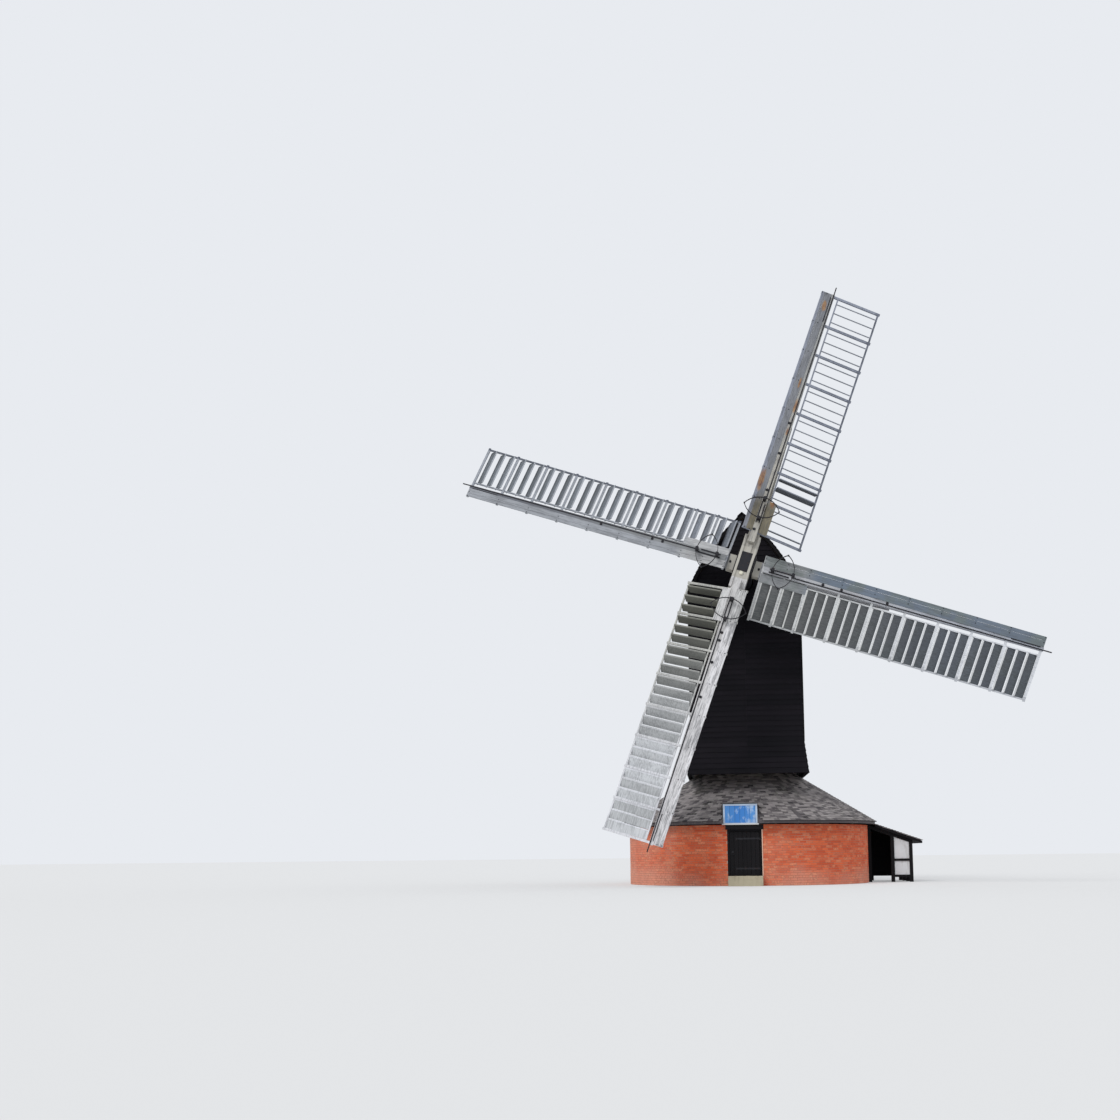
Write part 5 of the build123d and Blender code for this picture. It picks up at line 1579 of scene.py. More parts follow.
    def _ring(self, spot: Vector) -> None:
        """Makes the iron ring that opens the door, on its plate.

        Args:
            spot: Where the plate is fixed.
        """
        bpy.ops.object.select_all(action="DESELECT")
        bpy.ops.mesh.primitive_torus_add(
            major_radius=0.045,
            minor_radius=0.007,
            major_segments=20,
            minor_segments=6,
            location=(spot.x, spot.y - 0.016, spot.z - 0.04),
            rotation=(math.pi / 2, 0.0, 0.0),
        )
        ring = bpy.context.object
        bpy.ops.object.transform_apply(location=True, rotation=True, scale=True)
        plate = self.bench.block("ring_plate", (0.07, 0.07, 0.006))
        self.bench.ease(plate, lambda at, run: abs(run.z) > STRAIGHT, 0.015, 2)
        where = turned_cell(spot + Vector((0.0, -0.003, 0.0)), FRONT_AXES, (0.07, 0.07, 0.006))
        plate = self.bench.lay("door_ring", plate, [where], [self.finishes.iron])
        boss = self.bench.rod("boss", 0.014, 0.02, 8)
        self.bench.pick_faces(boss, lambda at, normal: normal.z > STRAIGHT)
        self.bench.shape(boss, "FACE", lambda: bpy.ops.mesh.inset(thickness=0.005))
        boss_at = turned_cell(spot + Vector((0.0, -0.014, 0.0)), FRONT_AXES, (0.028, 0.028, 0.02))
        boss = self.bench.lay("boss", boss, [boss_at], [self.finishes.iron])
        ring.data.materials.append(self.finishes.iron)
        bpy.ops.object.select_all(action="DESELECT")
        for part in (ring, boss, plate):
            part.select_set(True)
        bpy.context.view_layer.objects.active = plate
        bpy.ops.object.join()
        self.settle(plate, "door", "black_iron")

    def light(self) -> None:
        """Finishes the light over the door, and the pale strip at the doorway's right: a painted highlight
        of the lit edge of the brick reveal.
        """
        self.paint(("light_board",), self.finishes.blue)
        self.paint(("light_frame",), self.finishes.light_paint)
        low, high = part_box("light_frame")
        frame_low, frame_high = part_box("door_frame")
        _, wall_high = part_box("wall_front_right")
        sill = box_cell(
            Vector((low.x - 0.04, low.y - 0.05, low.z - 0.005)), Vector((high.x + 0.04, low.y, low.z + 0.04))
        )
        white = [self.finishes.white_across]
        piece = self.bench.lay("light_sill", self._sill_pattern(), [self._faced(sill)], white)
        self.settle(piece, "roundhouse", "white_paint")
        lintel = box_cell(
            Vector((frame_low.x - 0.05, -wall_high.x - 0.018, frame_high.z - 0.01)),
            Vector((frame_high.x + 0.05, -wall_high.x + 0.1, low.z - 0.004)),
        )
        black = [self.finishes.black_across]
        piece = self.bench.lay("door_lintel", self.board_pattern(), [self._faced(lintel)], black)
        self.settle(piece, "roundhouse", "black_timber")
        # Painted highlight: a pale strip for the lit edge of the brick reveal at the doorway's right.
        edge = frame_high.x
        skin = -math.sqrt(wall_high.x**2 - edge**2)
        strip = upright_cell(
            Vector((edge - 0.004, skin - 0.022, 0.3)), Vector((edge + 0.022, skin + 0.03, frame_high.z))
        )
        piece = self.bench.lay("lit_reveal_strip", self._plank_pattern(), [strip], [self.finishes.strip])
        self.settle(piece, "roundhouse", "white_paint")

    def _faced(self, corners: Cell) -> Cell:
        """The same box with its face to the front instead of to the back."""
        return corners[:, :, ::-1]

    def _sill_pattern(self) -> Object:
        """Makes a sill with a rounded nose.

        Returns:
            The pattern.
        """

        def nose(at: Vector, run: Vector) -> bool:
            """Whether an edge is the outer one of the nose."""
            return abs(run.x) > STRAIGHT and at.z > 0.04 and at.y > 0.04

        return self.bench.ease(self.bench.block("sill_pattern", (1.0, 0.045, 0.05)), nose, 0.015, 2)

    def shed(self) -> None:
        """Tiles the lean-to and finishes its frame and panels."""
        low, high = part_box("lean_to_roof")
        tangent = math.tan(self.shed_slope)
        eave_z = low.z + self.shed_cover_drop

        def face(x: float, off: float) -> Vector:
            """A point that stands off the roof, at Y nought."""
            return Vector((x, 0.0, eave_z + (high.x - x) * tangent + off))

        cells: list[Cell] = []
        tones: list[float] = []
        count = round((high.y - low.y) / self.tile_width)
        width = (high.y - low.y) / count
        back, out = Vector((0.0, 1.0, 0.0)), Vector((0.0, 0.0, self.tile_thickness))
        x = high.x + 0.03
        while x > low.x + 0.1:
            head = face(x - self.tile_length * math.cos(self.shed_slope), self.tile_off)
            for index in range(count):
                left = low.y + index * width + self.tile_gap / 2
                right = left + width - self.tile_gap
                if min(math.hypot(x - 0.08, end) for end in (left, left + width)) < self.eave_radius:
                    continue
                tail = face(x + self.draws.uniform(-0.006, 0.006), self.tile_lift)
                base = (tail + back * left, tail + back * right)
                cells.append(cell(base, (head + back * left, head + back * right), (out, out)))
                tones.append(self.draws.random())
            x -= self.gauge * math.cos(self.shed_slope)
        piece = self.bench.lay("lean_to_tiles", self.tile_pattern(), cells, [self.finishes.tile], tones)
        self.settle(piece, "roundhouse", "lean_to_tile")
        self.paint(("lean_to_roof", "lean_to_frame"), self.finishes.black)
        self.paint(("lean_to_panels",), self.finishes.infill)

    def trestle(self) -> None:
        """Finishes the timbers inside the roundhouse."""
        self.paint(("crosstrees", "roof_rafters", "roof_curb"), self.finishes.oak)
        self.paint(("quarter_bars", "main_post"), self.finishes.oak_upright)

    def build(self) -> None:
        """Makes every piece of the roundhouse."""
        self.bricks()
        self.tiles()
        self.door()
        self.light()
        self.shed()
        self.trestle()


@dataclass
class Weatherboards(Piece):
    """The boarded body of the mill: breast, sides, tail, roof and skirt."""

    exposure: float = 0.165
    lap: float = 0.025
    foot_thickness: float = 0.026
    head_thickness: float = 0.008
    bulge: float = 0.185
    roof_thickness: float = 0.0903
    bore: float = 0.32
    breast_depth: float = 0.09
    corner_width: float = 0.11
    corner_thickness: float = 0.034
    ridge_width: float = 0.15
    edge_gap: float = 0.004
    casing: float = 0.05
    casing_head: float = 0.09
    door_planks: int = 5

    def __post_init__(self) -> None:
        """Reads the body's main sizes from the built parts."""
        _, side_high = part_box("body_side_right")
        breast_low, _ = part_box("breast")
        _, tail_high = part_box("tail_wall")
        roof_low, roof_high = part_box("body_roof")
        skirt_low, skirt_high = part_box("body_skirt")
        self.half = side_high.x
        self.eave = side_high.z
        self.front = breast_low.y + self.breast_depth
        self.back = tail_high.y
        self.apex = roof_high.z
        self.roof_front, self.roof_back = roof_low.y, roof_high.y
        self.skirt_bottom, self.skirt_top = skirt_low.z, skirt_high.z
        self.flare = skirt_high.x - self.half
        self.boards_foot = self.skirt_top - 0.02
        self.boards_head = self.apex - self.roof_thickness - 0.08
        chord = math.hypot(self.half, self.apex - self.eave)
        self.radius = (chord**2 / 4 + self.bulge**2) / (2 * self.bulge)
        back = self.radius - self.bulge
        self.centre_x = self.half / 2 - back * (self.apex - self.eave) / chord
        self.centre_z = (self.eave + self.apex) / 2 - back * self.half / chord

    def half_width(self, height: float, inset: float) -> float:
        """Half of the gable's width at a height, under the roof.

        Args:
            height: The height.
            inset: How far inside the roof's face it is measured.

        Returns:
            Half of the width.
        """
        if height <= self.eave:
            foot = self.half_width(self.eave + 1e-6, inset)
            return self.half if inset == 0 or height < self.eave - 0.01 else foot
        reach = (self.radius - inset) ** 2 - (height - self.centre_z) ** 2
        return self.centre_x + math.sqrt(max(reach, 0.0))

    def rows(self, bottom: float, top: float) -> list[tuple[float, float]]:
        """Shares out the boards between two heights.

        Args:
            bottom: The lower height.
            top: The upper height.

        Returns:
            Heights of each board's lower and upper edges.
        """
        count = max(1, round((top - bottom) / self.exposure))
        step = (top - bottom) / count
        return [(bottom + index * step, bottom + (index + 1) * step) for index in range(count)]

    def _board(self, base: Sequence[Vector], top: Sequence[Vector], out: Sequence[Vector]) -> Cell:
        """Shapes one weatherboard, thick at its foot and thin at its head.

        Args:
            base: Start and end of its lower edge.
            top: Start and end of its upper edge.
            out: Outward directions at both edges.

        Returns:
            The board's corners.
        """
        outward = (out[0] * self.foot_thickness, out[1] * self.head_thickness)
        down = (base[0] - top[0]).normalized() * self.lap
        return cell((base[0] + down, base[1] + down), top, outward)

    def _lengths(self, span: float) -> list[tuple[float, float]]:
        """Cuts a row into boards, with a butt joint in a random place.

        Args:
            span: The row's length.

        Returns:
            Shares of the row at which each board starts and ends.
        """
        if span < 2.6:
            return [(0.0, 1.0)]
        joint = self.draws.uniform(0.25, 0.75)
        gap = 0.002 / span
        return [(0.0, joint - gap), (joint + gap, 1.0)]

    def face_boards(
        self,
        name: str,
        rows: Sequence[tuple[float, float]],
        edge: Callable[[float], list[Stretch]],
        finish: Material,
    ) -> None:
        """Boards one face of the body.

        Args:
            name: The piece's name.
            rows: The heights of each row's lower and upper edges.
            edge: Gives the start, end and outward direction of each stretch of wall at a height.
            finish: The material.
        """
        cells: list[Cell] = []
        tones: list[float] = []
        for bottom, top in rows:
            for low, high in zip(edge(bottom), edge(top)):
                span = (low[1] - low[0]).length
                if span < 0.03 and (high[1] - high[0]).length < 0.03:
                    continue
                for start, end in self._lengths(span):
                    base = (low[0].lerp(low[1], start), low[0].lerp(low[1], end))
                    head = (high[0].lerp(high[1], start), high[0].lerp(high[1], end))
                    cells.append(self._board(base, head, (low[2], high[2])))
                    tones.append(self.draws.random())
        piece = self.bench.lay(name, self.board_pattern(), cells, [finish], tones)
        self.settle(piece, "mill_body", "tarred_board")

    def breast(self) -> None:
        """Boards the two planes of the breast round the windshaft."""
        tail_y = 2.4
        tail = Vector((0.0, tail_y, SAIL_HUB.z - (tail_y - SAIL_HUB.y) * math.tan(SHAFT_TILT)))
        share = (self.front - self.breast_depth - SAIL_HUB.y) / (tail.y - SAIL_HUB.y)
        shaft_z = SAIL_HUB.z + (tail.z - SAIL_HUB.z) * share

        def plane_y(x: float) -> float:
            """How far back the breast lies."""
            return self.front - self.breast_depth * (1 - abs(x) / self.half)

        def edges(side: int) -> Callable[[float], list[Stretch]]:
            """Makes the rule for one side of the breast.

            Args:
                side: Minus one for the left or one for the right.

            Returns:
                What finds the wall at a height.
            """
            outward = Vector((side * self.breast_depth, -self.half, 0.0)).normalized()

            def edge(height: float) -> list[Stretch]:
                """Finds the wall at a height.

                Args:
                    height: The height.

                Returns:
                    The stretches of wall.
                """
                inner = math.sqrt(max(self.bore**2 - (height - shaft_z) ** 2, 0.0))
                outer = max(self.half_width(height, self.roof_thickness) - self.edge_gap, inner)
                start = Vector((side * inner, plane_y(inner), height))
                end = Vector((side * outer, plane_y(outer), height))
                return [(start, end, outward)]

            return edge

        rows = self.rows(self.boards_foot, self.boards_head)
        for side, name in ((-1, "breast_boards_left"), (1, "breast_boards_right")):
            self.face_boards(name, rows, edges(side), self.finishes.tar)

    def sides(self) -> None:
        """Boards the two sides."""
        rows = self.rows(self.boards_foot, self.eave - 0.02)
        for side, name in ((-1, "side_boards_left"), (1, "side_boards_right")):
            outward = Vector((side, 0.0, 0.0))

            def edge(height: float, side: int = side, outward: Vector = outward) -> list[Stretch]:
                """The wall of this side at a height."""
                x = side * self.half
                return [(Vector((x, self.front, height)), Vector((x, self.back, height)), outward)]

            self.face_boards(name, rows, edge, self.finishes.tar_depth)

    def tail(self) -> None:
        """Boards the tail round its door, and makes the door's planks."""
        low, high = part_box("tail_door")
        lintel = high.z + self.casing_head
        outward = Vector((0.0, 1.0, 0.0))

        def edge(height: float) -> list[Stretch]:
            """Finds the wall at a height.

            Args:
                height: The height.

            Returns:
                The stretches of wall.
            """
            outer = self.half_width(height, self.roof_thickness) - self.edge_gap
            inner = high.x + self.casing if low.z - 0.02 < height < lintel else 0.0
            stretches = []
            for side in (-1, 1):
                start = Vector((side * inner, self.back, height))
                end = Vector((side * max(outer, inner), self.back, height))
                stretches.append((start, end, outward))
            return stretches

        rows = self.rows(self.boards_foot, lintel) + self.rows(lintel + 0.001, self.boards_head)
        self.face_boards("tail_boards", rows, edge, self.finishes.tar)
        cells = []
        width = (high.x - low.x) / self.door_planks
        for index in range(self.door_planks):
            left = low.x + index * width
            xs, ys, zs = (left + 0.001, left + width - 0.001), (high.y, high.y + 0.02), (low.z, high.z)
            cells.append(filled(lambda along, up, out: (xs[up], ys[out], zs[along])))
        head = high.z + self.casing
        for left, right, bottom, top in (
            (low.x - self.casing, low.x, low.z, head),
            (high.x, high.x + self.casing, low.z, head),
            (low.x, high.x, high.z, head),
        ):
            far = Vector((right, self.back + 0.045, top))
            cells.append(box_cell(Vector((left, high.y, bottom)), far))
        tones = [self.draws.random() for _ in cells]
        piece = self.bench.lay("tail_door_planks", self.board_pattern(), cells, [self.finishes.black], tones)
        self.settle(piece, "mill_body", "black_timber")

    def roof(self) -> None:
        """Boards both slopes of the roof and caps the ridge."""
        start_turn = math.atan2(self.eave - self.centre_z, self.half - self.centre_x)
        end_turn = math.acos(-self.centre_x / self.radius)
        length = (end_turn - start_turn) * self.radius
        rows = self.rows(0.0, length - 0.03)
        for side, name in ((-1, "roof_boards_left"), (1, "roof_boards_right")):

            def edge(height: float, side: int = side) -> list[Stretch]:
                """Finds the slope's line at a distance from the eave.

                Args:
                    height: The distance, round the slope.
                    side: Minus one for the left or one for the right.

                Returns:
                    The one stretch of roof.
                """
                turn = start_turn + height / self.radius
                x = side * (self.centre_x + self.radius * math.cos(turn))
                z = self.centre_z + self.radius * math.sin(turn)
                outward = Vector((side * math.cos(turn), 0.0, math.sin(turn)))
                front = Vector((x, self.roof_front - 0.02, z))
                return [(front, Vector((x, self.roof_back + 0.02, z)), outward)]

            self.face_boards(name, rows, edge, self.finishes.tar_depth)
        cells = []
        for side in (-1, 1):
            lines = []
            for turn in (end_turn - self.ridge_width / self.radius, end_turn):
                outward = Vector((side * math.cos(turn), 0.0, math.sin(turn)))
                if turn == end_turn:
                    outward = Vector((0.0, 0.0, 1.0 / math.sin(turn)))
                foot = Vector((side * (self.centre_x + self.radius * math.cos(turn)), 0.0, 0.0))
                foot.z = self.centre_z + self.radius * math.sin(turn)
                gables = (self.roof_front - 0.03, self.roof_back + 0.03)
                ends = [foot + Vector((0.0, y, 0.0)) for y in gables]
                lines.append((ends, outward * 0.052))
            (base, base_out), (top, top_out) = lines
            cells.append(cell(base, top, (base_out, top_out), 0.5))
        finishes = [self.finishes.tar_depth]
        piece = self.bench.lay("ridge_boards", self.board_pattern(), cells, finishes, (0.3, 0.7))
        self.settle(piece, "mill_body", "tarred_board")

    def skirt(self) -> None:
        """Boards the skirt that flares out over the roundhouse."""
        rise = self.skirt_top - self.skirt_bottom
        rows = self.rows(self.skirt_bottom, self.skirt_top)
        _, pole_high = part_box("tail_pole")
        head = 0.002
        lean = (self.flare - head) / rise

        def edge(height: float) -> list[Stretch]:
            """Finds the wall at a height.

            Args:
                height: The height.

            Returns:
                The stretches of wall.
            """
            reach = head + (self.flare - head) * (self.skirt_top - height) / rise
            x, front, back = self.half + reach, self.front - reach, self.back + reach
            middle = front - self.breast_depth
            pole = pole_high.x + 0.03 if height < pole_high.z + 0.06 else 0.0
            return [
                (Vector((*start, height)), Vector((*end, height)), Vector((*outward, lean)))
                for start, end, outward in (
                    ((-x, front), (0.0, middle), (0.0, -1.0)),
                    ((0.0, middle), (x, front), (0.0, -1.0)),
                    ((x, front), (x, back), (1.0, 0.0)),
                    ((x, back), (pole, back), (0.0, 1.0)),
                    ((-pole, back), (-x, back), (0.0, 1.0)),
                    ((-x, back), (-x, front), (-1.0, 0.0)),
                )
            ]

        self.face_boards("skirt_boards", rows, edge, self.finishes.tar)

    def corners(self) -> None:
        """Stands a board up each side of the body's four corners."""
        cells = []
        zs, thick = (self.skirt_top - 0.05, self.eave - 0.03), self.corner_thickness
        for side in (-1, 1):
            for end_y, inward in ((self.front, 1), (self.back, -1)):
                xs = (side * self.half, side * (self.half + thick))
                ys = sorted((end_y - inward * thick, end_y + inward * self.corner_width))
                cells.append(filled(lambda along, up, out: (xs[out], ys[up], zs[along])))
        tones = [self.draws.random() for _ in cells]
        piece = self.bench.lay("corner_boards", self.board_pattern(), cells, [self.finishes.black], tones)
        self.settle(piece, "mill_body", "tarred_board")

    def inside(self) -> None:
        """Finishes the built parts of the body, the ladder and the tail pole."""
        self.paint(("breast", "tail_wall", "crown_tree", "weather_beam", "tail_beam"), self.finishes.oak)
        self.paint(("body_side_left", "body_side_right", "body_floor"), self.finishes.oak_depth)
        self.paint(("body_skirt", "tail_door", "body_roof"), self.finishes.black_across)
        self.paint(("ladder_strings", "tail_pole"), self.finishes.oak_depth)
        self.paint(("ladder_treads",), self.finishes.oak)

    def build(self) -> None:
        """Makes every piece of the body."""
        self.breast()
        self.sides()
        self.tail()
        self.roof()
        self.skirt()
        self.corners()
        self.inside()


@dataclass(frozen=True)
class Sail:
    """One sail: its turn, its stock's side of the hub and how its bars and shutters stand."""

    name: str
    turn: float
    side: int
    short_bays: int
    heel_open: float
    tip_open: float
    bolted: tuple[float, ...]
    slack: tuple[tuple[int, float], ...] = ()
    stock_middle: float = 0.175
    stock_depth: float = 0.28
    seat: float = 0.0003
    start: float = 0.6
    end: float = 9.01
    widths: tuple[float, float] = (0.2, 0.11)
    depths: tuple[float, float] = (0.19, 0.09)
    weathers: tuple[float, float] = (math.radians(22.0), math.radians(15.0))
    tip_bar: float = 8.95
    bay: float = 0.998
    short_bay: float = 0.69
    bar_width: float = 0.07
    bar_share: float = 0.58

    def axes(self) -> tuple[Vector, Vector]:
        """Finds the sail's own directions.

        Returns:
            The directions towards the hem and outwards.
        """
        across = RIGHT * math.cos(self.turn) - UPWARD * math.sin(self.turn)
        outward = RIGHT * math.sin(self.turn) + UPWARD * math.cos(self.turn)
        return across, outward

    def taper(self, along: float, ends: tuple[float, float]) -> float:
        """A value that changes evenly along the whip."""
        return ends[0] + (ends[1] - ends[0]) * (along - self.start) / (self.end - self.start)

    def face(self) -> float:
        """How far forward of the hub the front of the stock lies."""
        return self.side * self.stock_middle + self.stock_depth / 2

    def point(self, across: float, along: float, forward: float) -> Vector:
        """A point of the rotor."""
        hemward, outward = self.axes()
        return SAIL_HUB + hemward * across + outward * along + FORWARD * forward

    def pivot(self, along: float) -> float:
        """How far forward of the hub the bars and shutters turn."""
        return self.face() + self.seat + self.bar_share * self.taper(along, self.depths)

    def leaned(self, along: float) -> tuple[Vector, Vector]:
        """Finds the directions of the twisted sail.

        Args:
            along: The distance from the hub.

        Returns:
            The directions across the sail and forwards from it.
        """
        lean = self.taper(along, self.weathers)
        hemward, _ = self.axes()
        across = hemward * math.cos(lean) - FORWARD * math.sin(lean)
        forward = hemward * math.sin(lean) + FORWARD * math.cos(lean)
        return across, forward

    def bars(self) -> list[float]:
        """Places the bars of this sail.

        Returns:
            Their distances from the hub.
        """
        long_bays = 8 if self.short_bays == 0 else 7
        heel = self.tip_bar - long_bays * self.bay - self.short_bays * self.short_bay
        radii = [heel + index * self.short_bay for index in range(self.short_bays)]
        return radii + [self.tip_bar - index * self.bay for index in range(long_bays, -1, -1)]


SAILS = (
    Sail(
        "a",
        SAIL_TURN,
        1,
        0,
        math.radians(-72),
        math.radians(-62),
        (1.0, 2.3, 3.53, 4.55),
        ((0, math.radians(-75)), (4, math.radians(-96)), (5, math.radians(-84))),
    ),
    Sail("b", SAIL_TURN + math.pi / 2, -1, 2, math.radians(-12), math.radians(-16), (2.42, 2.99, 4.38)),
    Sail("c", SAIL_TURN + math.pi, 1, 0, math.radians(-68), math.radians(-4), (2.35, 2.6, 3.3, 4.4)),
    Sail("d", SAIL_TURN + 3 * math.pi / 2, -1, 2, math.radians(-47), math.radians(-44), (2.6, 2.93, 4.6)),
)


@dataclass
class Rotor(Piece):
    """The sails with their shutters, and the ironwork of the hub."""

    shutter_start: float = 0.2105
    heel_shutter_start: float = 0.3855
    shutter_end: float = 1.5145
    shutter_gap: float = 0.012
    shutter_thickness: float = 0.02
    rim: float = 0.012
    wide_rim: float = 0.045
    sunk: float = 0.005
    plank_width: float = 0.29
    narrow_plank: float = 0.12
    plank_back: float = 0.0257
    plank_face: float = 0.0477
    plank_step: float = 0.003
    plank_joint: float = 0.003
    plank_end: float = 8.99
    seam_half: float = 0.002
    bar_bolt_lift: float = 0.0537  # half a bar, its seat, a board and half a bolt

    def _shutter_pattern(self) -> Object:
        """Makes a shutter: a panel sunk in both faces of a rim whose heelward side is the widest.

        Returns:
            The pattern.
        """
        length, width = 1.269, 0.297
        shutter = self.bench.block("shutter_pattern", (length, width, self.shutter_thickness))
        self.bench.pick_faces(shutter, lambda at, normal: abs(normal.z) > STRAIGHT)
        panel = width - 2 * self.rim
        kept = (width - self.rim - self.wide_rim) / panel

        def sink() -> None:
            """Sinks the panel into the rim."""
            bpy.ops.mesh.inset(thickness=self.rim, use_individual=True)
            bpy.ops.transform.resize(value=(1.0, kept, 1.0))
            bpy.ops.transform.translate(value=(0.0, (self.wide_rim - self.rim) / 2, 0.0))
            bpy.ops.mesh.inset(thickness=0.002, depth=-self.sunk, use_individual=True)

        self.bench.shape(shutter, "FACE", sink)
        # The wide rim's side takes the pale finish and the rest the grey one: partly a white frame round
        # grey canvas, partly a painted highlight along one lit long edge and painted shade on the faces.
        for face in shutter.data.polygons:
            face.material_index = 0 if face.center.y < self.wide_rim * 0.7 else 1
        return shutter

    def shutters(self) -> None:
        """Makes the shutters of each sail in place of the plain ones."""
        for sail in SAILS:
            cells: list[Cell] = []
            _, outward = sail.axes()
            radii = sail.bars()
            for inner, outer in zip(radii, radii[1:]):
                count = 3 if outer - inner > 0.9 * sail.bay else 2
                pitch = (outer - inner - sail.bar_width) / count
                for index in range(count):
                    along = inner + sail.bar_width / 2 + (index + 0.5) * pitch
                    share = (along - radii[0]) / (radii[-1] - radii[0])
                    opening = sail.heel_open + (sail.tip_open - sail.heel_open) * share
                    opening = dict(sail.slack).get(len(cells), opening)
                    across, forward = sail.leaned(along)
                    up = outward * math.cos(opening) + forward * math.sin(opening)
                    out = forward * math.cos(opening) - outward * math.sin(opening)
                    at_heel = outer < radii[max(sail.short_bays, 1)] + 0.01
                    start = self.heel_shutter_start if at_heel else self.shutter_start
                    middle = (start + self.shutter_end) / 2
                    origin = sail.point(0.0, along, sail.pivot(along)) + across * middle
                    size = (self.shutter_end - start, pitch - self.shutter_gap, self.shutter_thickness)
                    cells.append(turned_cell(origin, (across, up, out), size))
            tones = [self.draws.random() for _ in cells]
            piece = self.bench.lay(
                f"shutter_leaves_{sail.name}",
                self._shutter_pattern(),
                cells,
                [self.finishes.shutter_edge_and_highlight, self.finishes.shutter],
                tones,
            )
            self.settle(piece, "rotor", "shutter_paint", f"shutters_{sail.name}")

    def planks(self) -> None:
        """Makes the leading boards of two planks each, with butt joints at the bars."""
        cells: list[Cell] = []
        tones: list[float] = []

        def spot(sail: Sail, along: float, reach: float, lift: float) -> Vector:
            """Finds a point of the leading boards.

            Args:
                sail: The sail.
                along: The distance from the hub.
                reach: How far it lies beyond the whip.
                lift: How far it stands off the sail.

            Returns:
                The point.
            """
            across, forward = sail.leaned(along)
            whip = sail.taper(along, sail.widths) / 2
            return sail.point(0.0, along, sail.pivot(along)) - across * (whip + reach) + forward * lift

        outer_edge = 0.03 + self.plank_width
        seam = outer_edge - self.narrow_plank
        planks = ((0.008, seam - self.seam_half), (seam + self.seam_half, outer_edge))
        for sail in SAILS:
            radii = sail.bars()
            radii = [radii[0] - 0.02] + radii[1:-1] + [self.plank_end]
            for number, sides in enumerate(planks):
                tone = self.draws.random()
                for index, (inner, outer) in enumerate(zip(radii, radii[1:])):
                    ends = (inner, outer)
                    if (index + number) % 3 == 0:
                        tone = self.draws.random()
                        ends = (inner + self.plank_joint, outer)
                    lifts = (self.plank_back, self.plank_face - self.plank_step * number)
                    cells.append(
                        filled(lambda along, up, out: spot(sail, ends[along], sides[up], lifts[out]))
                    )
                    tones.append(tone)
        finishes = [self.finishes.sail_board]
        piece = self.bench.lay("leading_planks", self.board_pattern(), cells, finishes, tones)
        self.settle(piece, "rotor", "white_paint", "leading_boards")

    def bolts(self) -> None:
        """Bolts the whips to the stocks, and the bars and boards to the whips."""
        cells: list[Cell] = []
        for sail in SAILS:
            across, outward = sail.axes()
            axes = (across, outward, FORWARD)
            for along in sail.bolted:
                forward = sail.face() + sail.taper(along, sail.depths)
                spot = sail.point(-0.03, along, forward + 0.014)
                cells.append(turned_cell(spot, axes, (0.09, 0.09, 0.032)))
            for along in sail.bars():
                leaned, out = sail.leaned(along)
                base = sail.point(0.0, along, sail.pivot(along))
                for offset in (-0.2, -0.36):
                    spot = base + leaned * offset + out * self.bar_bolt_lift
                    cells.append(turned_cell(spot, (leaned, outward, out), (0.03, 0.03, 0.012)))
        piece = self.bench.lay("sail_bolts", self.bolt_pattern(), cells, [self.finishes.iron])
        self.settle(piece, "rotor", "black_iron")

    def _bar_pattern(self) -> Object:
        """A flat iron bar that narrows at both ends."""
        bar = self.bench.block("bar_pattern", (1.0, 0.04, 0.02))
        return self.bench.ease(bar, lambda at, run: abs(run.z) > STRAIGHT, 0.016, 2)

    def stays(self) -> None:
        """Lays the twin irons that carry each spring, and the iron at each tip, along the whips."""
        cells: list[Cell] = []
        for sail in SAILS:
            across, outward = sail.axes()
            spring = 1.64 if sail.side > 0 else 1.19  # its middle, from the hub
            for place, start, end, width in (  # across the whip, along it, and the iron's own width
                (-0.045, spring - 0.42, spring + 0.28, 0.034),
                (0.055, spring - 0.42, spring + 0.2, 0.034),
                (-0.055, 8.05, 8.9, 0.05),
            ):
                depth = sail.taper((start + end) / 2, sail.depths)
                lean = (sail.depths[1] - sail.depths[0]) / (sail.end - sail.start)
                along = (outward + FORWARD * lean).normalized()
                spot = sail.point(place, (start + end) / 2, sail.face() + depth + 0.012)
                cells.append(turned_cell(spot, (along, across, FORWARD), (end - start, width, 0.024)))
        piece = self.bench.lay("whip_irons", self._bar_pattern(), cells, [self.finishes.iron])
        self.settle(piece, "rotor", "black_iron")

    def hub(self) -> None:
        """Bolts the hub's plate and cheeks."""
        cells: list[Cell] = []
        front, rear = SAILS[0], SAILS[1]
        across, outward = front.axes()
        for x in (-0.11, 0.11):
            for y in (-0.24, 0.0, 0.24):
                spot = front.point(x, y, front.face() + 0.034)
                cells.append(turned_cell(spot, (across, outward, FORWARD), (0.05, 0.05, 0.014)))
        for sail, reach in ((front, 0.75), (rear, 0.45)):
            leaned, out = sail.axes()
            for end in (-1, 1):
                spot = sail.point(0.0, end * reach, sail.face() + 0.012)
                cells.append(turned_cell(spot, (leaned, out, FORWARD), (0.08, 0.08, 0.026)))
        piece = self.bench.lay("hub_bolts", self.bolt_pattern(), cells, [self.finishes.iron])
        self.settle(piece, "rotor", "black_iron")
        knob = self.bench.rod("knob_pattern", 0.06, 0.05, 16)
        self.bench.ease(knob, lambda at, run: at.z > 0.04 and abs(run.z) < 0.1, 0.022, 3)
        spot = front.point(0.0, -0.37, front.face() + 0.024)
        cap = turned_cell(spot, (across, outward, FORWARD), (0.12, 0.12, 0.05))
        piece = self.bench.lay("hub_knob", knob, [cap], [self.finishes.knob])
        self.settle(piece, "rotor", "white_paint")

    def finish(self) -> None:
        """Finishes the built parts of the rotor."""
        self.paint(
            ("stock_front", "stock_rear", "stock_cheeks", "hub_wedge", "whips"), self.finishes.sail_timber
        )
        self.paint(("heel_boards",), self.finishes.sail_board)
        self.paint(tuple(f"sail_frame_{sail.name}" for sail in SAILS), self.finishes.sail_bars)
        self.paint(("windshaft", "canister", "hub_plate", "springs", "shutter_rods"), self.finishes.iron)

    def build(self) -> None:
        """Makes every piece of the rotor."""
        self.shutters()
        self.planks()
        self.bolts()
        self.stays()
        self.hub()
        self.finish()


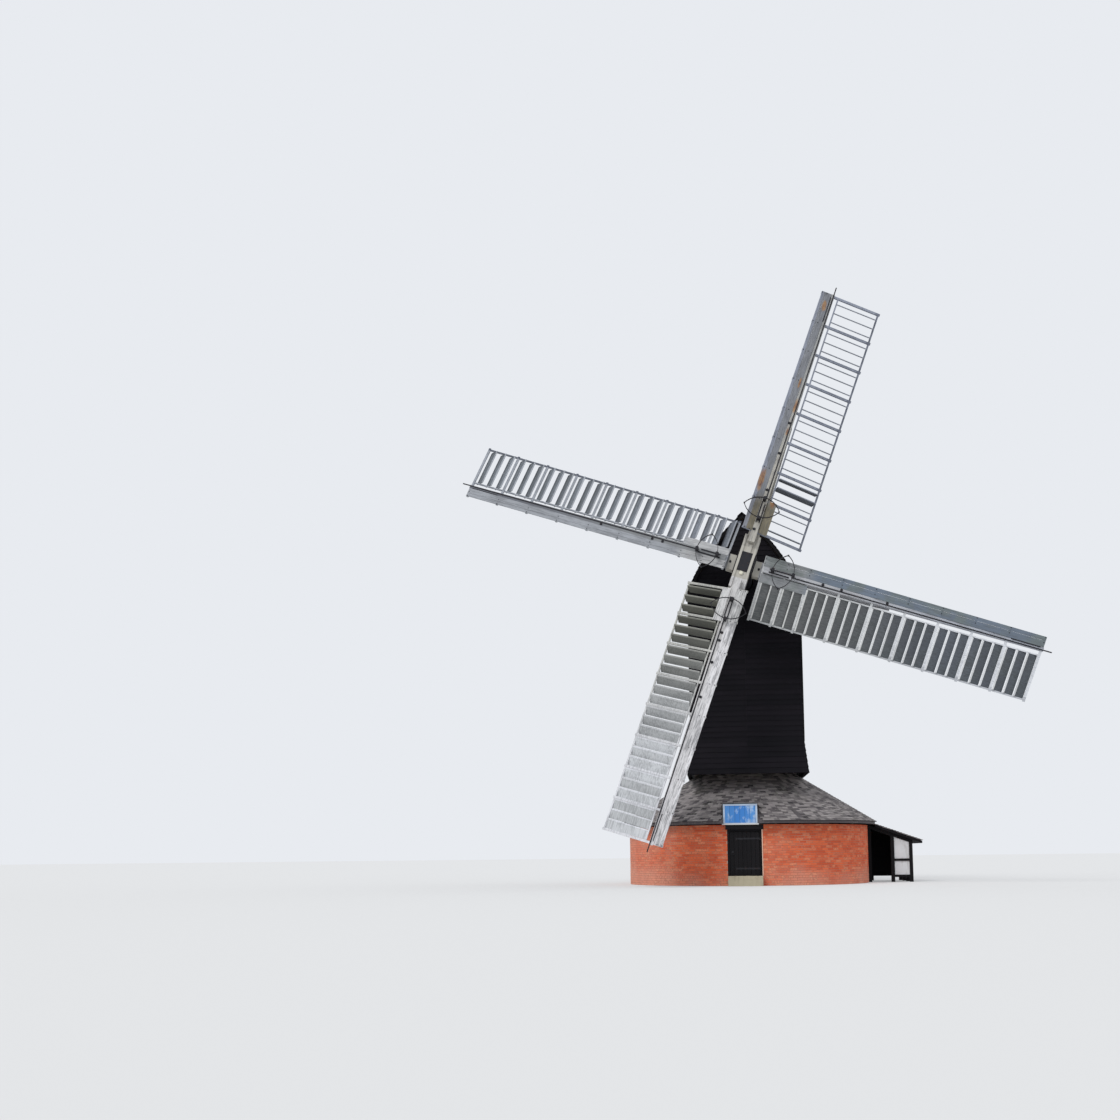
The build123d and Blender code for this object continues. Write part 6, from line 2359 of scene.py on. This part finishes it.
def main() -> None:
    """Builds the mill's finishes and fine pieces in order."""
    logging.basicConfig(level=logging.INFO, format="%(message)s")
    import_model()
    bpy.context.scene.view_settings.view_transform = "Standard"
    bench = Bench()
    finishes = Finishes.build(SailPlace(SAIL_TURN, tuple(SAIL_HUB)))
    ground = Ground()
    ground.floor()
    ground.lamps()
    ground.camera()
    for assembly in (Roundhouse(bench, finishes), Weatherboards(bench, finishes), Rotor(bench, finishes)):
        assembly.build()


if __name__ == "__main__":
    main()
